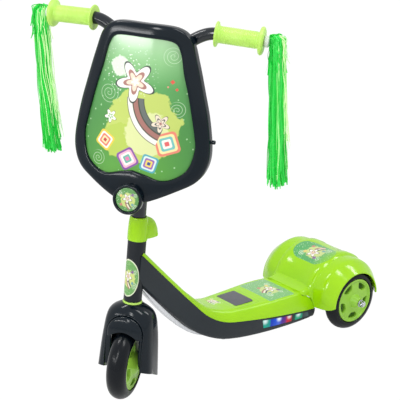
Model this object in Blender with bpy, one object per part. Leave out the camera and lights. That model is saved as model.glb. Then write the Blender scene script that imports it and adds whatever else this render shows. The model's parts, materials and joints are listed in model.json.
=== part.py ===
"""Kids' three-wheel kick scooter with a low deck, a picture shield on the bar,
streamers on both grips, lit strips along the deck and a foot switch.

Lengths are in metres. +Z is up, the scooter rides towards -Y and the rider's
left is +X. The wheels stand on z = 0. The steering is modelled turned to the
left, as it was left parked, and every piece of it hangs on one pivot empty.
"""
import bmesh
import bpy
from math import atan, atan2, cos, pi, radians, sin, sqrt, tan
from mathutils import Matrix, Vector

# Clearances between pieces
FIT = 0.0003
RUN = 0.0008
WALL = 0.0025

# Steering geometry: the axis leans back and meets the floor at HEAD_FOOT_Y
HEAD_FOOT_Y = -0.229
RAKE = radians(6.97)
PARKED_TURN = radians(33.24)

# Front wheel
FRONT_R = 0.0611
FRONT_TYRE_HALF = 0.0165
FRONT_RIM_R = 0.0437
FRONT_LEAD = 0.0104
FRONT_HUB_HALF = 0.0150
FRONT_BOSS_REACH = 0.0276
FRONT_CONE_RISE = 0.0024
FRONT_CONE_R = 0.0200
FRONT_CONE_TIP = 0.0080

# Rear wheels
REAR_R = 0.0561
REAR_TYRE_HALF = 0.0140
REAR_RIM_R = 0.0403
REAR_AXLE_Y = 0.2198
REAR_TRACK_HALF = 0.0763
REAR_HUB_HALF = 0.0137
REAR_BOSS_REACH = 0.0262
REAR_WEB_X = 0.0020

# Wheel details shared by the three wheels
AXLE_R = 0.004
BOSS_R = 0.0095
RIM_WALL = 0.0032
BOSS_CONE_R = 0.0125
BOSS_END_R = 0.0078
WEB_HALF = 0.0014
HOLE_COUNT = 5
HOLE_INNER_R = 0.56
HOLE_OUTER_R = 0.85
HOLE_SPREAD = radians(45)
HOLE_NARROW = 0.70
HOLE_CORNER = 0.0028
HOLE_DRAFT = 0.88
HOLE_PHASE = radians(49.5)
WASHER_R = 0.0070
WASHER_T = 0.0012
NUT_R = 0.0062
NUT_T = 0.0055

# Head tube and the stack on it, as heights along the steering axis
CROWN_TOP = 0.1610
RING_T = 0.0032
RING_R = 0.0158
BUSH_FLANGE_T = 0.0014
HEAD_TUBE_R = 0.0148
HEAD_TUBE_BORE = 0.0126
HEAD_TUBE_LENGTH = 0.1075
BUSH_LENGTH = 0.014
CAP_HEIGHT = 0.0380
CAP_SKIRT = 0.006
CAP_TOP_R = 0.0135
CAP_HOOD_LIFT = 0.0022
CAP_HOOD_REACH = 0.0375
CAP_HOOD_HALF = 0.0125
CAP_HOOD_POWER = 2.6

# Steering column and handlebar
COLUMN_R = 0.0111
COLUMN_FOOT = 0.1365
BAR_R = 0.0095
BAR_CENTRE_Z = 0.560
GRIP_START_X = 0.0957
GRIP_Y = 0.0046
GRIP_Z = 0.6066
GRIP_SWEEP = radians(4.5)
GRIP_FALL = radians(1.7)
GRIP_LENGTH = 0.0735
GRIP_R = 0.0130
INNER_FLANGE_R = 0.0197
INNER_FLANGE_T = 0.0030
OUTER_FLANGE_R = 0.0217
OUTER_FLANGE_T = 0.0065
GRIP_END_WALL = 0.0030
PLUG_R = 0.0085
PLUG_T = 0.0075
PLUG_STEM_R = 0.0045

# Streamers
STREAMER_LENGTH = 0.227
STREAMER_RISE = 0.012
STREAMER_TOP_HALF = 0.0115
STREAMER_LOW_HALF = 0.0165

# Shield on the handlebar: its face is part of a bowed surface
SHIELD_FACE_Y = -0.052
SHIELD_LEAN = 0.043
SHIELD_BOW = 3.0
SHIELD_MID_Z = 0.428
SHIELD_DEPTH = 0.015
BORDER_PLATE = 0.0060
BORDER_PROUD = 0.0015
PANEL_T = 0.0030
BACK_T = 0.0026
SHIELD_OUTLINE = (
    (0.000, 0.6159), (0.046, 0.6139), (0.0685, 0.5980), (0.0805, 0.5632), (0.0925, 0.5174),
    (0.1025, 0.4756), (0.1090, 0.4298), (0.1055, 0.4020), (0.0930, 0.3821), (0.0680, 0.3672),
    (0.0290, 0.3483), (0.000, 0.3403),
)
PANEL_OUTLINE = (
    (0.000, 0.5955), (0.0420, 0.5935), (0.0555, 0.5791), (0.0635, 0.5453), (0.0735, 0.5094),
    (0.0850, 0.4577), (0.0880, 0.4338), (0.0810, 0.4040), (0.0640, 0.3881), (0.0430, 0.3826),
    (0.0200, 0.3890), (0.000, 0.3935),
)
MEDAL_Z = 0.3505
MEDAL_R = 0.0235
MEDAL_DISC_R = 0.0183
MEDAL_DEPTH = 0.0115
STUD_Z = 0.445
STUD_R = 0.0032
STUD_REACH = 0.0060
BRACKET_HALF = 0.017
BRACKET_UPPER_Z = 0.517
BRACKET_LOWER_Z = 0.370
BRACKET_HEIGHT = 0.026

# Fork: half width and half depth of the moulded shell at heights along the axis
FORK_LEVELS = (
    (0.0000, 0.0164, 0.0164, 0.000),
    (-0.0060, 0.0280, 0.0230, 0.000),
    (-0.0140, 0.0360, 0.0285, 0.001),
    (-0.0260, 0.0398, 0.0320, 0.002),
    (-0.0450, 0.0417, 0.0345, 0.003),
    (-0.0730, 0.0436, 0.0355, 0.003),
    (-0.1290, 0.0468, 0.0360, 0.003),
)
FORK_SLOT_HALF = 0.0300
FORK_LEG_INSIDE = 0.0380
FORK_LEG_FLANGE = 0.0085
FORK_HOLLOW_START_Y = -0.0032
FORK_TYRE_GAP = 0.0045
GUARD_T = 0.0028
GUARD_HALF = 0.0270
GUARD_DROP = 0.0140
GUARD_START = radians(66)
GUARD_END = radians(113)
ARCH_BELOW_CROWN = 0.0445
ARCH_SIDE_STEP = 0.0002
ARCH_BACK = 0.0038
VISOR_START_Y = -0.0295
VISOR_NOSE = 0.0085
VISOR_FOOT = 0.0060
AXLE_SEAT = 0.0040

# Deck: side line where the green cover meets the black shell
NECK_JOIN = 0.2449
NECK_WRAP_Y = -0.0020
CORNER_Y = -0.0645
CORNER_Z = 0.0854
DECK_FALL = radians(9.6)
DECK_END_Y = 0.156
BEND_R = 0.096
# Share of the line's length, half width at the line, half width of the top,
# height of the cover and depth of the shell
DECK_STATIONS = (
    (0.00, 0.0170, 0.0145, 0.0070, 0.0355),
    (0.16, 0.0180, 0.0155, 0.0070, 0.0358),
    (0.32, 0.0220, 0.0190, 0.0080, 0.0352),
    (0.41, 0.0300, 0.0250, 0.0117, 0.0334),
    (0.49, 0.0390, 0.0310, 0.0170, 0.0325),
    (0.59, 0.0475, 0.0370, 0.0190, 0.0335),
    (0.71, 0.0535, 0.0425, 0.0234, 0.0305),
    (0.83, 0.0560, 0.0455, 0.0286, 0.0260),
    (0.94, 0.0550, 0.0430, 0.0315, 0.0218),
    (1.00, 0.0535, 0.0415, 0.0321, 0.0190),
)
DECK_CROWN = 0.0012
COVER_ROUND = 0.0060
SHELL_ROUND = 0.0095
NECK_ROUND_SHARE = 0.34
SHELL_END_ROUND = 0.0060
END_WALL = 0.0025

# Frame tube inside the shell, and the pale steel strip under the neck
FRAME_HALF_WIDTH = 0.0070
FRAME_HEIGHT = 0.0120
FRAME_WALL = 0.0016
STRIP_HALF_WIDTH = 0.0085
STRIP_BULGE = 0.0052
STRIP_START = 0.045
STRIP_END = 0.235
AXLE_TUBE_R = 0.0075

# Foot switch
PAD_Y = 0.0112
PAD_HALF_X = 0.0253
PAD_HALF_Y = 0.0205
PAD_TILT = radians(3.2)
PAD_T = 0.0040
PAD_PROUD = 0.0008
PAD_LIP = 0.0025
PAD_LIP_T = 0.0015
PAD_TRAVEL = 0.0015
PAD_CORNER = 0.0035
SPRING_R = 0.0035

# Lit strips in the sides of the shell
LENS_START_Y = 0.029
LENS_END_Y = 0.138
LENS_START_HEIGHT = 0.0160
LENS_END_HEIGHT = 0.0095
LENS_TOP_GAP = 0.0035
BOARD_T = 0.0016

# Battery bay, speaker and boards inside the deck
BAY_X = -0.0245
BAY_Y = 0.062
BAY_HALF_X = 0.0125
BAY_HALF_Y = 0.0245
CELL_R = 0.00525
CELL_LENGTH = 0.0445
CELL_PITCH = 0.0112
CASE_T = 0.0012
CASE_HEIGHT = 0.0145
SPEAKER_X = 0.0245
SPEAKER_R = 0.0135
SPEAKER_HEIGHT = 0.0075
CARRIER_DEPTH = 0.0150
CARRIER_WALL = 0.0018

# Rear housing: the seam's corners, from the top edge down, behind SEAM_Y
SEAM_Y = 0.1285
SEAM_CORNERS = (
    (0.0000, 0.0800), (0.0065, 0.0757), (0.0135, 0.0742), (0.0195, 0.0695), (0.0240, 0.0610),
    (0.0252, 0.0530), (0.0252, 0.0000),
)
# Outlines of the housing start from the middle of a wheel: place across the
# barrel, and the step from its radius there
BARREL_R = 0.0747
BARREL_OUTLINE = ((-0.0483, 0.0000), (-0.0448, 0.0012), (-0.0328, 0.0012), (-0.0293, -0.0006))
# Place across a fender, and its radius over the wheel and at its tapered front
FENDER_OUTLINE = (
    (-0.0273, 0.0722, 0.0662), (-0.0163, 0.0720, 0.0640), (-0.0083, 0.0714, 0.0622), (-0.0023, 0.0690, 0.0606),
    (0.0037, 0.0648, 0.0590), (0.0102, 0.0595, 0.0566), (0.0167, 0.0542, 0.0542),
)
FENDER_LIP_R = 0.0523
TAPER_START = radians(148)
HOUSING_BOTTOM_Z = 0.0505
# Place across the bottom edge, and how far it lies above its lowest
BOTTOM_LIFT = ((0.0637, 0.030), (0.0177, 0.0075), (0.0097, 0.0030), (0.0007, 0.0006), (-0.0063, 0.0))
WELL_GAP = 0.0038
WELL_INNER = REAR_TRACK_HALF - REAR_TYRE_HALF - WELL_GAP
RAMP_MEET = radians(130)
RAMP_SIDE_STEP = 0.0048
RAMP_LOW_HALF = WELL_INNER - RAMP_SIDE_STEP
RAMP_FRONT_HALF = 0.0425
RAMP_BACK_HALF = REAR_TRACK_HALF + BARREL_OUTLINE[-1][0]
RAMP_ROUND = 0.0070
AXLE_TUBE_END_GAP = 0.0005
AXLE_TUBE_HALF = WELL_INNER - WALL - AXLE_TUBE_END_GAP

# Colours
GREEN = (0.30, 0.72, 0.02, 1)
DARK_GREEN = (0.10, 0.36, 0.10, 1)
BLACK = (0.012, 0.014, 0.018, 1)
RUBBER = (0.018, 0.020, 0.026, 1)
GREY = (0.12, 0.12, 0.14, 1)
STEEL = (0.55, 0.56, 0.58, 1)
WHITE = (0.85, 0.87, 0.85, 1)
CLEAR = (0.70, 0.80, 0.85, 1)
BOARD = (0.03, 0.16, 0.06, 1)
STREAMER = (0.05, 0.62, 0.10, 1)


def finish(name, colour, roughness, metallic):
    """Principled material for one piece."""
    material = bpy.data.materials.new(name)
    material.use_nodes = True
    shader = material.node_tree.nodes["Principled BSDF"]
    shader.inputs["Base Color"].default_value = colour
    shader.inputs["Roughness"].default_value = roughness
    shader.inputs["Metallic"].default_value = metallic
    return material


def solid(name, bm):
    """Unplaced object from a closed mesh, with its faces turned outwards."""
    bmesh.ops.remove_doubles(bm, verts=bm.verts, dist=1e-6)
    bmesh.ops.dissolve_degenerate(bm, edges=bm.edges, dist=1e-7)
    bmesh.ops.recalc_face_normals(bm, faces=bm.faces)
    mesh = bpy.data.meshes.new(name)
    bm.to_mesh(mesh)
    bm.free()
    obj = bpy.data.objects.new(name, mesh)
    bpy.context.scene.collection.objects.link(obj)
    return obj


def combine(obj, tool, operation="DIFFERENCE", solver="EXACT"):
    """Join, cut or intersect an unplaced solid with another one, and drop the tool."""
    step = obj.modifiers.new("step", "BOOLEAN")
    step.operation = operation
    step.object = tool
    step.solver = solver
    graph = bpy.context.evaluated_depsgraph_get()
    shaped = bpy.data.meshes.new_from_object(obj.evaluated_get(graph))
    obj.modifiers.clear()
    obj.data = shaped
    bpy.data.objects.remove(tool)
    return obj


def copy_of(obj, name):
    """Second unplaced solid with its own mesh."""
    twin = bpy.data.objects.new(name, obj.data.copy())
    bpy.context.scene.collection.objects.link(twin)
    return twin


def place(obj, colour, parent=None, matrix=None, roughness=0.4, metallic=0.0, smooth=35):
    """Give a finished solid its material, its shading and its carrier."""
    obj.data.materials.clear()
    obj.data.materials.append(finish(obj.name, colour, roughness, metallic))
    obj.data.shade_smooth()
    obj.data.set_sharp_from_angle(angle=radians(smooth))
    obj.parent = parent
    obj.matrix_local = matrix or Matrix()
    return obj


def pivot(name, matrix, parent=None):
    """Empty that carries a moving body, with its origin on the joint's axis."""
    empty = bpy.data.objects.new(name, None)
    empty.empty_display_size = 0.02
    bpy.context.scene.collection.objects.link(empty)
    empty.parent = parent
    empty.matrix_local = matrix
    return empty


def skin(rings, wrap=False, gap=False):
    """Closed mesh over rings of equally many points, capped unless it wraps.

    With a gap, the first and last point of a ring lie on the axis, unjoined.
    """
    bm = bmesh.new()
    loops = [[bm.verts.new(p) for p in ring] for ring in rings]
    pairs = list(zip(loops, loops[1:]))
    if wrap:
        pairs.append((loops[-1], loops[0]))
    for one, two in pairs:
        for i in range(len(one) - (1 if gap else 0)):
            j = (i + 1) % len(one)
            bm.faces.new((one[i], one[j], two[j], two[i]))
    if not wrap:
        bm.faces.new(loops[0])
        bm.faces.new(loops[-1])
    return bm


def turned(profile, steps=32, start=0.0, sweep=2 * pi):
    """Mesh turned about X from a closed outline of (x, radius) points.

    The outline may be a function, for one that changes with the angle.
    """
    whole = sweep > 2 * pi - 1e-6
    count = steps if whole else steps + 1
    rings = []
    for i in range(count):
        a = start + sweep * i / steps
        outline = profile(a) if callable(profile) else profile
        rings.append([Vector((x, r * cos(a), r * sin(a))) for x, r in outline])
    return skin(rings, wrap=whole, gap=max(outline[0][1], outline[-1][1]) < 1e-9)


def extruded(points, low, high):
    """Mesh of a (y, z) outline drawn out along X."""
    return skin([[Vector((x, y, z)) for y, z in points] for x in (low, high)])


def box(low, high):
    """Mesh of a box between two corners."""
    (ax, ay, az), (bx, by, bz) = low, high
    return extruded([(ay, az), (by, az), (by, bz), (ay, bz)], ax, bx)


def moved(bm, matrix):
    """The same mesh after a move."""
    bm.transform(matrix)
    return bm


def aim(origin, direction):
    """Matrix that puts the X axis of a turned piece on a line."""
    turn = Vector((1, 0, 0)).rotation_difference(Vector(direction).normalized())
    return Matrix.Translation(origin) @ turn.to_matrix().to_4x4()


def circle_arc(cx, cy, r, start, end, count):
    """Points of an arc in a plane, both ends included."""
    return [
        (cx + r * cos(start + (end - start) * i / count), cy + r * sin(start + (end - start) * i / count))
        for i in range(count + 1)
    ]


def rounded_box(half_x, half_y, corner, count=3):
    """Outline of a rectangle with round corners, as (x, y) points."""
    points = []
    for k, (sx, sy) in enumerate(((1, 1), (-1, 1), (-1, -1), (1, -1))):
        cx, cy = sx * (half_x - corner), sy * (half_y - corner)
        points += circle_arc(cx, cy, corner, k * pi / 2, (k + 1) * pi / 2, count)
    return points


def slab(outline, low, high):
    """Mesh of an (x, y) outline drawn out along Z."""
    return skin([[Vector((x, y, z)) for x, y in outline] for z in (low, high)])


def between(table, share):
    """Smooth values at a share of a table whose rows start with their share."""
    rows = list(table)
    k = 0
    while k < len(rows) - 2 and share > rows[k + 1][0]:
        k += 1
    before, one, two = rows[max(k - 1, 0)], rows[k], rows[k + 1]
    after = rows[min(k + 2, len(rows) - 1)]
    width = two[0] - one[0]
    t = min(max((share - one[0]) / width, 0.0), 1.0)
    values = []
    for c in range(1, len(one)):
        left = (two[c] - before[c]) / max(two[0] - before[0], 1e-9) * width
        right = (after[c] - one[c]) / max(after[0] - one[0], 1e-9) * width
        a = 2 * one[c] - 2 * two[c] + left + right
        b = 3 * two[c] - 3 * one[c] - 2 * left - right
        values.append(((a * t + b) * t + left) * t + one[c])
    return values


# Frames of reference
HEAD = Matrix.Translation((0, HEAD_FOOT_Y, 0)) @ Matrix.Rotation(-RAKE, 4, "X")
STEER = HEAD @ Matrix.Rotation(PARKED_TURN, 4, "Z")


def front_wheel_height():
    """Height along the steering axis at which the round tyre touches the floor."""
    lean = sin(PARKED_TURN) * sin(RAKE)
    centre = (FRONT_R - FRONT_TYRE_HALF) * sqrt(1 - lean * lean) + FRONT_TYRE_HALF
    return (centre - FRONT_LEAD * cos(PARKED_TURN) * sin(RAKE)) / cos(RAKE)


FRONT_AXLE_Z = front_wheel_height()
REAR_AXLE_Z = REAR_R
HEAD_TUBE_LOW = CROWN_TOP + FIT + RING_T + FIT + BUSH_FLANGE_T + FIT
HEAD_TUBE_TOP = HEAD_TUBE_LOW + HEAD_TUBE_LENGTH


class DeckLine:
    """Side line of the deck: straight down the neck, round the bend, along the deck."""

    def __init__(self):
        join = HEAD @ Vector((0, 0, NECK_JOIN))
        self.start = Vector((join.y, join.z))
        corner = Vector((CORNER_Y, CORNER_Z))
        along = corner - self.start
        self.neck_angle = atan2(along.y, along.x)
        self.bend = -DECK_FALL - self.neck_angle
        reach = BEND_R * tan(self.bend / 2)
        self.neck = along.length - reach
        self.arc = BEND_R * self.bend
        deck = (DECK_END_Y - CORNER_Y) / cos(DECK_FALL)
        self.deck = deck - reach
        self.length = self.neck + self.arc + self.deck

    def at(self, share):
        """Point (y, z) and direction angle at a share of the whole length."""
        u = share * self.length
        if u <= self.neck:
            turned_by, past = 0.0, 0.0
            straight = u
        else:
            turned_by = min((u - self.neck) / BEND_R, self.bend)
            straight = self.neck
            past = max(u - self.neck - self.arc, 0.0)
        a = self.neck_angle
        p = self.start + straight * Vector((cos(a), sin(a)))
        p += BEND_R * Vector((sin(a + turned_by) - sin(a), cos(a) - cos(a + turned_by)))
        b = a + turned_by
        return p + past * Vector((cos(b), sin(b))), b

    def lift(self, share, x, n):
        """World point at a share of the line, x to the side and n above it."""
        p, a = self.at(share)
        return Vector((x, p.x - n * sin(a), p.y + n * cos(a)))

    def share_at(self, y):
        """Share of the line whose point has this y, on the straight deck."""
        past = (y - self.at(1.0)[0].x) / cos(DECK_FALL)
        return 1.0 + past / self.length


LINE = DeckLine()
BEND_START = LINE.neck / LINE.length
BEND_END = (LINE.neck + LINE.arc) / LINE.length
SHARES = (
    [BEND_START * i / 4 for i in range(4)]
    + [BEND_START + (BEND_END - BEND_START) * i / 7 for i in range(7)]
    + [BEND_END + (1 - BEND_END) * i / 9 for i in range(10)]
)


def fillet(corner, one, two, back, count=3):
    """Points that round a corner between the ways to two neighbours."""
    corner, one, two = Vector(corner), Vector(one), Vector(two)
    a = corner + (one - corner).normalized() * back
    b = corner + (two - corner).normalized() * back
    points = []
    for i in range(count + 1):
        t = i / count
        points.append((1 - t) ** 2 * a + 2 * t * (1 - t) * corner + t * t * b)
    return points


def mirrored(half):
    """Whole outline from its +X half, which starts and ends off the middle."""
    return [tuple(p) for p in half] + [(-p[0], p[1]) for p in reversed(half)]


def cover_section(share, inset=0.0, base=FIT):
    """Outline of the cover across the deck as (x, n) points."""
    mid, top, rise, _ = between(DECK_STATIONS, share)
    rise -= inset
    mid -= inset
    top -= inset
    back = min(COVER_ROUND, rise * 0.7)
    half = [(mid, base)]
    half += fillet((top, rise), (mid, base), (0, rise), back)
    half.append((top * 0.45, rise + DECK_CROWN * 0.8))
    return mirrored(half)


def shell_section(share, inset=0.0, top=0.0, end=1.0):
    """Outline of the lower shell across the deck as (x, n) points."""
    mid, _, _, drop = between(DECK_STATIONS, share)
    drop = drop * end - inset
    mid -= inset
    back = min(SHELL_ROUND, drop * 0.7, mid * NECK_ROUND_SHARE)
    half = [(mid, top), (mid - 0.0006, -0.3 * drop)]
    half += fillet((mid - 0.0025, -drop), (mid, 0), (0, -drop), back)
    return mirrored(half)


def deck_loft(section, shares):
    """Mesh of a section carried along the deck's side line."""
    return skin([[LINE.lift(s, x, n) for x, n in section(s)] for s in shares])


def head_tube_cutter(radius):
    """Cylinder on the head tube's axis, for pieces that fit round the tube."""
    profile = [(HEAD_TUBE_LOW - 0.03, 0), (HEAD_TUBE_LOW - 0.03, radius)]
    profile += [(HEAD_TUBE_TOP + 0.06, radius), (HEAD_TUBE_TOP + 0.06, 0)]
    upright = Matrix.Rotation(-pi / 2, 4, "Y")
    return moved(turned(profile, 40), HEAD @ upright)


def ahead_of_head_tube():
    """Everything in front of the plane through the head tube's axis."""
    return moved(box((-0.1, -0.2, 0.0), (0.1, NECK_WRAP_Y, 0.4)), HEAD)


def seam_outline(shift):
    """Outline (y, z) of everything behind the seam between cover and housing."""
    far, high = 0.33, 0.18
    points = [(SEAM_Y + shift, high)]
    points += [(SEAM_Y + y + shift, z + (shift if z else 0.0)) for y, z in SEAM_CORNERS]
    return points + [(far, 0.0), (far, high)]


def pad_frame():
    """Matrix of the foot switch: on the deck's top, tilted with it."""
    share = LINE.share_at(PAD_Y)
    _, _, rise, _ = between(DECK_STATIONS, share)
    top = LINE.lift(share, 0, rise + DECK_CROWN)
    return Matrix.Translation((0, PAD_Y, top.z)) @ Matrix.Rotation(-PAD_TILT, 4, "X")


PAD = pad_frame()


def lens_outline(grow):
    """Outline (y, z) of the lit strip in the shell's side."""
    points = []
    for y, height in ((LENS_START_Y, LENS_START_HEIGHT), (LENS_END_Y, LENS_END_HEIGHT)):
        line = LINE.at(LINE.share_at(y))[0]
        side = -1 if y == LENS_START_Y else 1
        top = line.y - LENS_TOP_GAP + grow
        low = line.y - LENS_TOP_GAP - height - grow
        lean = 0.003
        points.append(((y + side * grow, top), (y + side * grow + lean, low)))
    (a_top, a_low), (b_top, b_low) = points
    return [a_top, b_top, b_low, a_low]


def deck_cover():
    obj = solid("deck_cover", deck_loft(cover_section, SHARES))
    longer = [-0.01] + SHARES[1:-1] + [1.01]
    outline = rounded_box(PAD_HALF_X + FIT, PAD_HALF_Y + FIT, PAD_CORNER + FIT)
    lip = PAD_LIP + 2 * FIT
    seat = rounded_box(PAD_HALF_X + lip, PAD_HALF_Y + lip, PAD_CORNER)
    cutters = [
        deck_loft(lambda s: cover_section(s, WALL, -0.002), longer),
        head_tube_cutter(HEAD_TUBE_R + FIT),
        ahead_of_head_tube(),
        extruded(seam_outline(0.0), -0.1, 0.1),
        moved(slab(outline, -0.02, 0.02), PAD),
        moved(slab(seat, -0.02, -PAD_T + PAD_PROUD + PAD_LIP_T + FIT), PAD),
    ]
    for cutter in cutters:
        combine(obj, solid("cutter", cutter), solver="MANIFOLD")
    return place(obj, GREEN, roughness=0.25)


def lower_shell_blank():
    """Shell with its round end and its open top, before doors and lenses."""
    tail = SHELL_END_ROUND / LINE.length
    shares = SHARES[:-1] + [1 - tail, 1 - tail * 0.45, 1 - tail * 0.12, 1.0]
    ends = {shares[-3]: 0.93, shares[-2]: 0.78, shares[-1]: 0.60}
    blank = deck_loft(lambda s: shell_section(s, end=ends.get(s, 1.0)), shares)
    obj = solid("deck_lower_shell", blank)
    inner_end = 1 - END_WALL / LINE.length
    inner = [-0.01] + SHARES[1:-1] + [inner_end - tail, inner_end]
    inner_ends = {inner[-1]: 0.80}
    hollow = deck_loft(lambda s: shell_section(s, WALL, 0.002, inner_ends.get(s, 1.0)), inner)
    combine(obj, solid("cutter", hollow))
    return obj


def lower_shell_and_inserts():
    """Lower shell with the two lenses and the battery door taken out of its walls."""
    shell = lower_shell_blank()
    for side, name in ((1, "led_lens_left"), (-1, "led_lens_right")):
        near, far = (0.035, 0.09) if side > 0 else (-0.09, -0.035)
        lens = copy_of(shell, name)
        combine(lens, solid("tool", extruded(lens_outline(0.0), near, far)), "INTERSECT", "MANIFOLD")
        place(lens, CLEAR, roughness=0.1)
        combine(shell, solid("cutter", extruded(lens_outline(FIT), near, far)), solver="MANIFOLD")
    corner = 0.002
    door = copy_of(shell, "battery_door")
    at = Matrix.Translation((BAY_X, BAY_Y, 0))
    outline = rounded_box(BAY_HALF_X, BAY_HALF_Y, corner)
    combine(door, solid("tool", moved(slab(outline, 0.0, 0.05), at)), "INTERSECT", "MANIFOLD")
    place(door, BLACK, roughness=0.5)
    outline = rounded_box(BAY_HALF_X + FIT, BAY_HALF_Y + FIT, corner)
    combine(shell, solid("cutter", moved(slab(outline, 0.0, 0.05), at)), solver="MANIFOLD")
    for cutter in (head_tube_cutter(HEAD_TUBE_R + FIT), ahead_of_head_tube()):
        combine(shell, solid("cutter", cutter), solver="MANIFOLD")
    return place(shell, BLACK, roughness=0.4)


def frame_tube():
    """Rectangular steel tube from the head tube to the axle tube."""
    centres = []
    for s in SHARES:
        if s > BEND_END + 1e-6:
            break
        drop = between(DECK_STATIONS, s)[3]
        n = -(drop - WALL - 2 * FIT - FRAME_HEIGHT / 2)
        p, a = LINE.at(s)
        centres.append((Vector((0, p.x - n * sin(a), p.y + n * cos(a))), a))
    last = centres[-1][0]
    end = Vector((0, REAR_AXLE_Y, REAR_AXLE_Z))
    away = end - last
    slope = atan2(away.z, away.y)
    centres[-1] = (last, (centres[-1][1] + slope) / 2)
    centres.append((end, slope))

    def ring(centre, angle, half_x, half_n):
        up = Vector((0, -sin(angle), cos(angle)))
        side = Vector((1, 0, 0))
        corners = ((1, -1), (1, 1), (-1, 1), (-1, -1))
        return [centre + side * (half_x * sx) + up * (half_n * sn) for sx, sn in corners]

    half_n = FRAME_HEIGHT / 2
    outer = [ring(c, a, FRAME_HALF_WIDTH, half_n) for c, a in centres]
    inner = [ring(c, a, FRAME_HALF_WIDTH - FRAME_WALL, half_n - FRAME_WALL) for c, a in centres]
    obj = solid("frame_tube", skin(outer))
    combine(obj, solid("cutter", skin(inner)))
    for cutter in (head_tube_cutter(HEAD_TUBE_R + FIT), ahead_of_head_tube()):
        combine(obj, solid("cutter", cutter), solver="MANIFOLD")
    round_axle = [(-0.02, 0), (-0.02, AXLE_TUBE_R + FIT), (0.02, AXLE_TUBE_R + FIT), (0.02, 0)]
    combine(obj, solid("cutter", moved(turned(round_axle, 32), Matrix.Translation(end))))
    return place(obj, STEEL, roughness=0.35, metallic=1.0)


def neck_strip():
    """Pale steel stiffener that follows the underside of the neck."""
    rings = []
    steps = 16
    for i in range(steps + 1):
        u = STRIP_START + (STRIP_END - STRIP_START) * i / steps
        share = u / LINE.length
        drop = between(DECK_STATIONS, share)[3]
        thick = 0.0012 + STRIP_BULGE * sin(pi * i / steps) ** 0.8
        top = -(drop + FIT + 0.0002)
        corners = ((-1, 0), (1, 0), (0.86, -1), (-0.86, -1))
        rings.append([LINE.lift(share, STRIP_HALF_WIDTH * x, top + thick * n) for x, n in corners])
    obj = solid("neck_strip", skin(rings))
    combine(obj, solid("cutter", head_tube_cutter(HEAD_TUBE_R + FIT)), solver="MANIFOLD")
    return place(obj, STEEL, roughness=0.35, metallic=1.0)


def tube_profile(low, high, inner, outer):
    """Closed (x, radius) outline of a plain ring or tube."""
    return [(low, inner), (low, outer), (high, outer), (high, inner)]


UPRIGHT = Matrix.Rotation(-pi / 2, 4, "Y")


def on_axis(profile, steps=32):
    """Turned mesh standing on the local Z axis."""
    return moved(turned(profile, steps), UPRIGHT)


def head_pieces():
    """Head tube, its two bushes and the green cap, all fixed to the frame."""
    tube = tube_profile(HEAD_TUBE_LOW, HEAD_TUBE_TOP, HEAD_TUBE_BORE, HEAD_TUBE_R)
    place(solid("head_tube", on_axis(tube, 32)), BLACK, matrix=HEAD, roughness=0.4)
    bore = COLUMN_R + RUN
    outer = HEAD_TUBE_BORE - FIT
    flange = HEAD_TUBE_R - 0.0008
    low, t = HEAD_TUBE_LOW - FIT, BUSH_FLANGE_T
    lower = [(low - t, bore), (low - t, flange), (low, flange), (low, outer)]
    lower += [(low + BUSH_LENGTH, outer), (low + BUSH_LENGTH, bore)]
    place(solid("lower_bush", on_axis(lower, 24)), WHITE, matrix=HEAD, roughness=0.6)
    top = HEAD_TUBE_TOP + FIT
    upper = [(top - BUSH_LENGTH, bore), (top - BUSH_LENGTH, outer), (top, outer), (top, flange)]
    upper += [(top + t, flange), (top + t, bore)]
    place(solid("upper_bush", on_axis(upper, 24)), WHITE, matrix=HEAD, roughness=0.6)
    head_cap(top + t)


def head_cap(bush_top):
    """Green cap over the head tube, with a hood that reaches back over the neck."""
    low = HEAD_TUBE_TOP - CAP_SKIRT
    high = low + CAP_HEIGHT
    skirt = HEAD_TUBE_R + FIT + 0.0010
    profile = [(low, 0), (low, skirt)]
    steps = 5
    for i in range(steps + 1):
        a = pi / 2 * i / steps
        z = high - CAP_HEIGHT * 0.86 * (1 - sin(a))
        profile.append((z, CAP_TOP_R + (skirt - CAP_TOP_R) * cos(a)))
    profile.append((high, 0))
    obj = solid("head_cap", on_axis(profile, 28))
    rings = []
    for i in range(7):
        t = i / 6
        y = CAP_HOOD_REACH * t
        drop = CAP_HEIGHT * (1 - max(1 - 0.985 * t ** CAP_HOOD_POWER, 0.0) ** (1 / CAP_HOOD_POWER))
        half = CAP_HOOD_HALF * sqrt(max(1 - 0.80 * t ** 3, 0.0))
        foot = low + CAP_HOOD_LIFT
        top = foot + (high - 0.001 - foot) * (1 - drop / CAP_HEIGHT * 0.97)
        ring = [Vector((half * cos(a), y, foot + (top - foot) * sin(a)))
                for a in [pi * k / 8 for k in range(9)]]
        rings.append(ring)
    combine(obj, solid("tool", skin(rings)), "UNION")
    cavity_r = HEAD_TUBE_R + FIT
    cavity = [(low - 0.01, 0), (low - 0.01, cavity_r), (bush_top + FIT, cavity_r), (bush_top + FIT, 0)]
    combine(obj, solid("cutter", on_axis(cavity, 36)))
    bore = COLUMN_R + RUN
    combine(obj, solid("cutter", on_axis([(low, 0), (low, bore), (high + 0.01, bore), (high + 0.01, 0)], 36)))
    place(obj, GREEN, matrix=HEAD, roughness=0.25)


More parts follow.
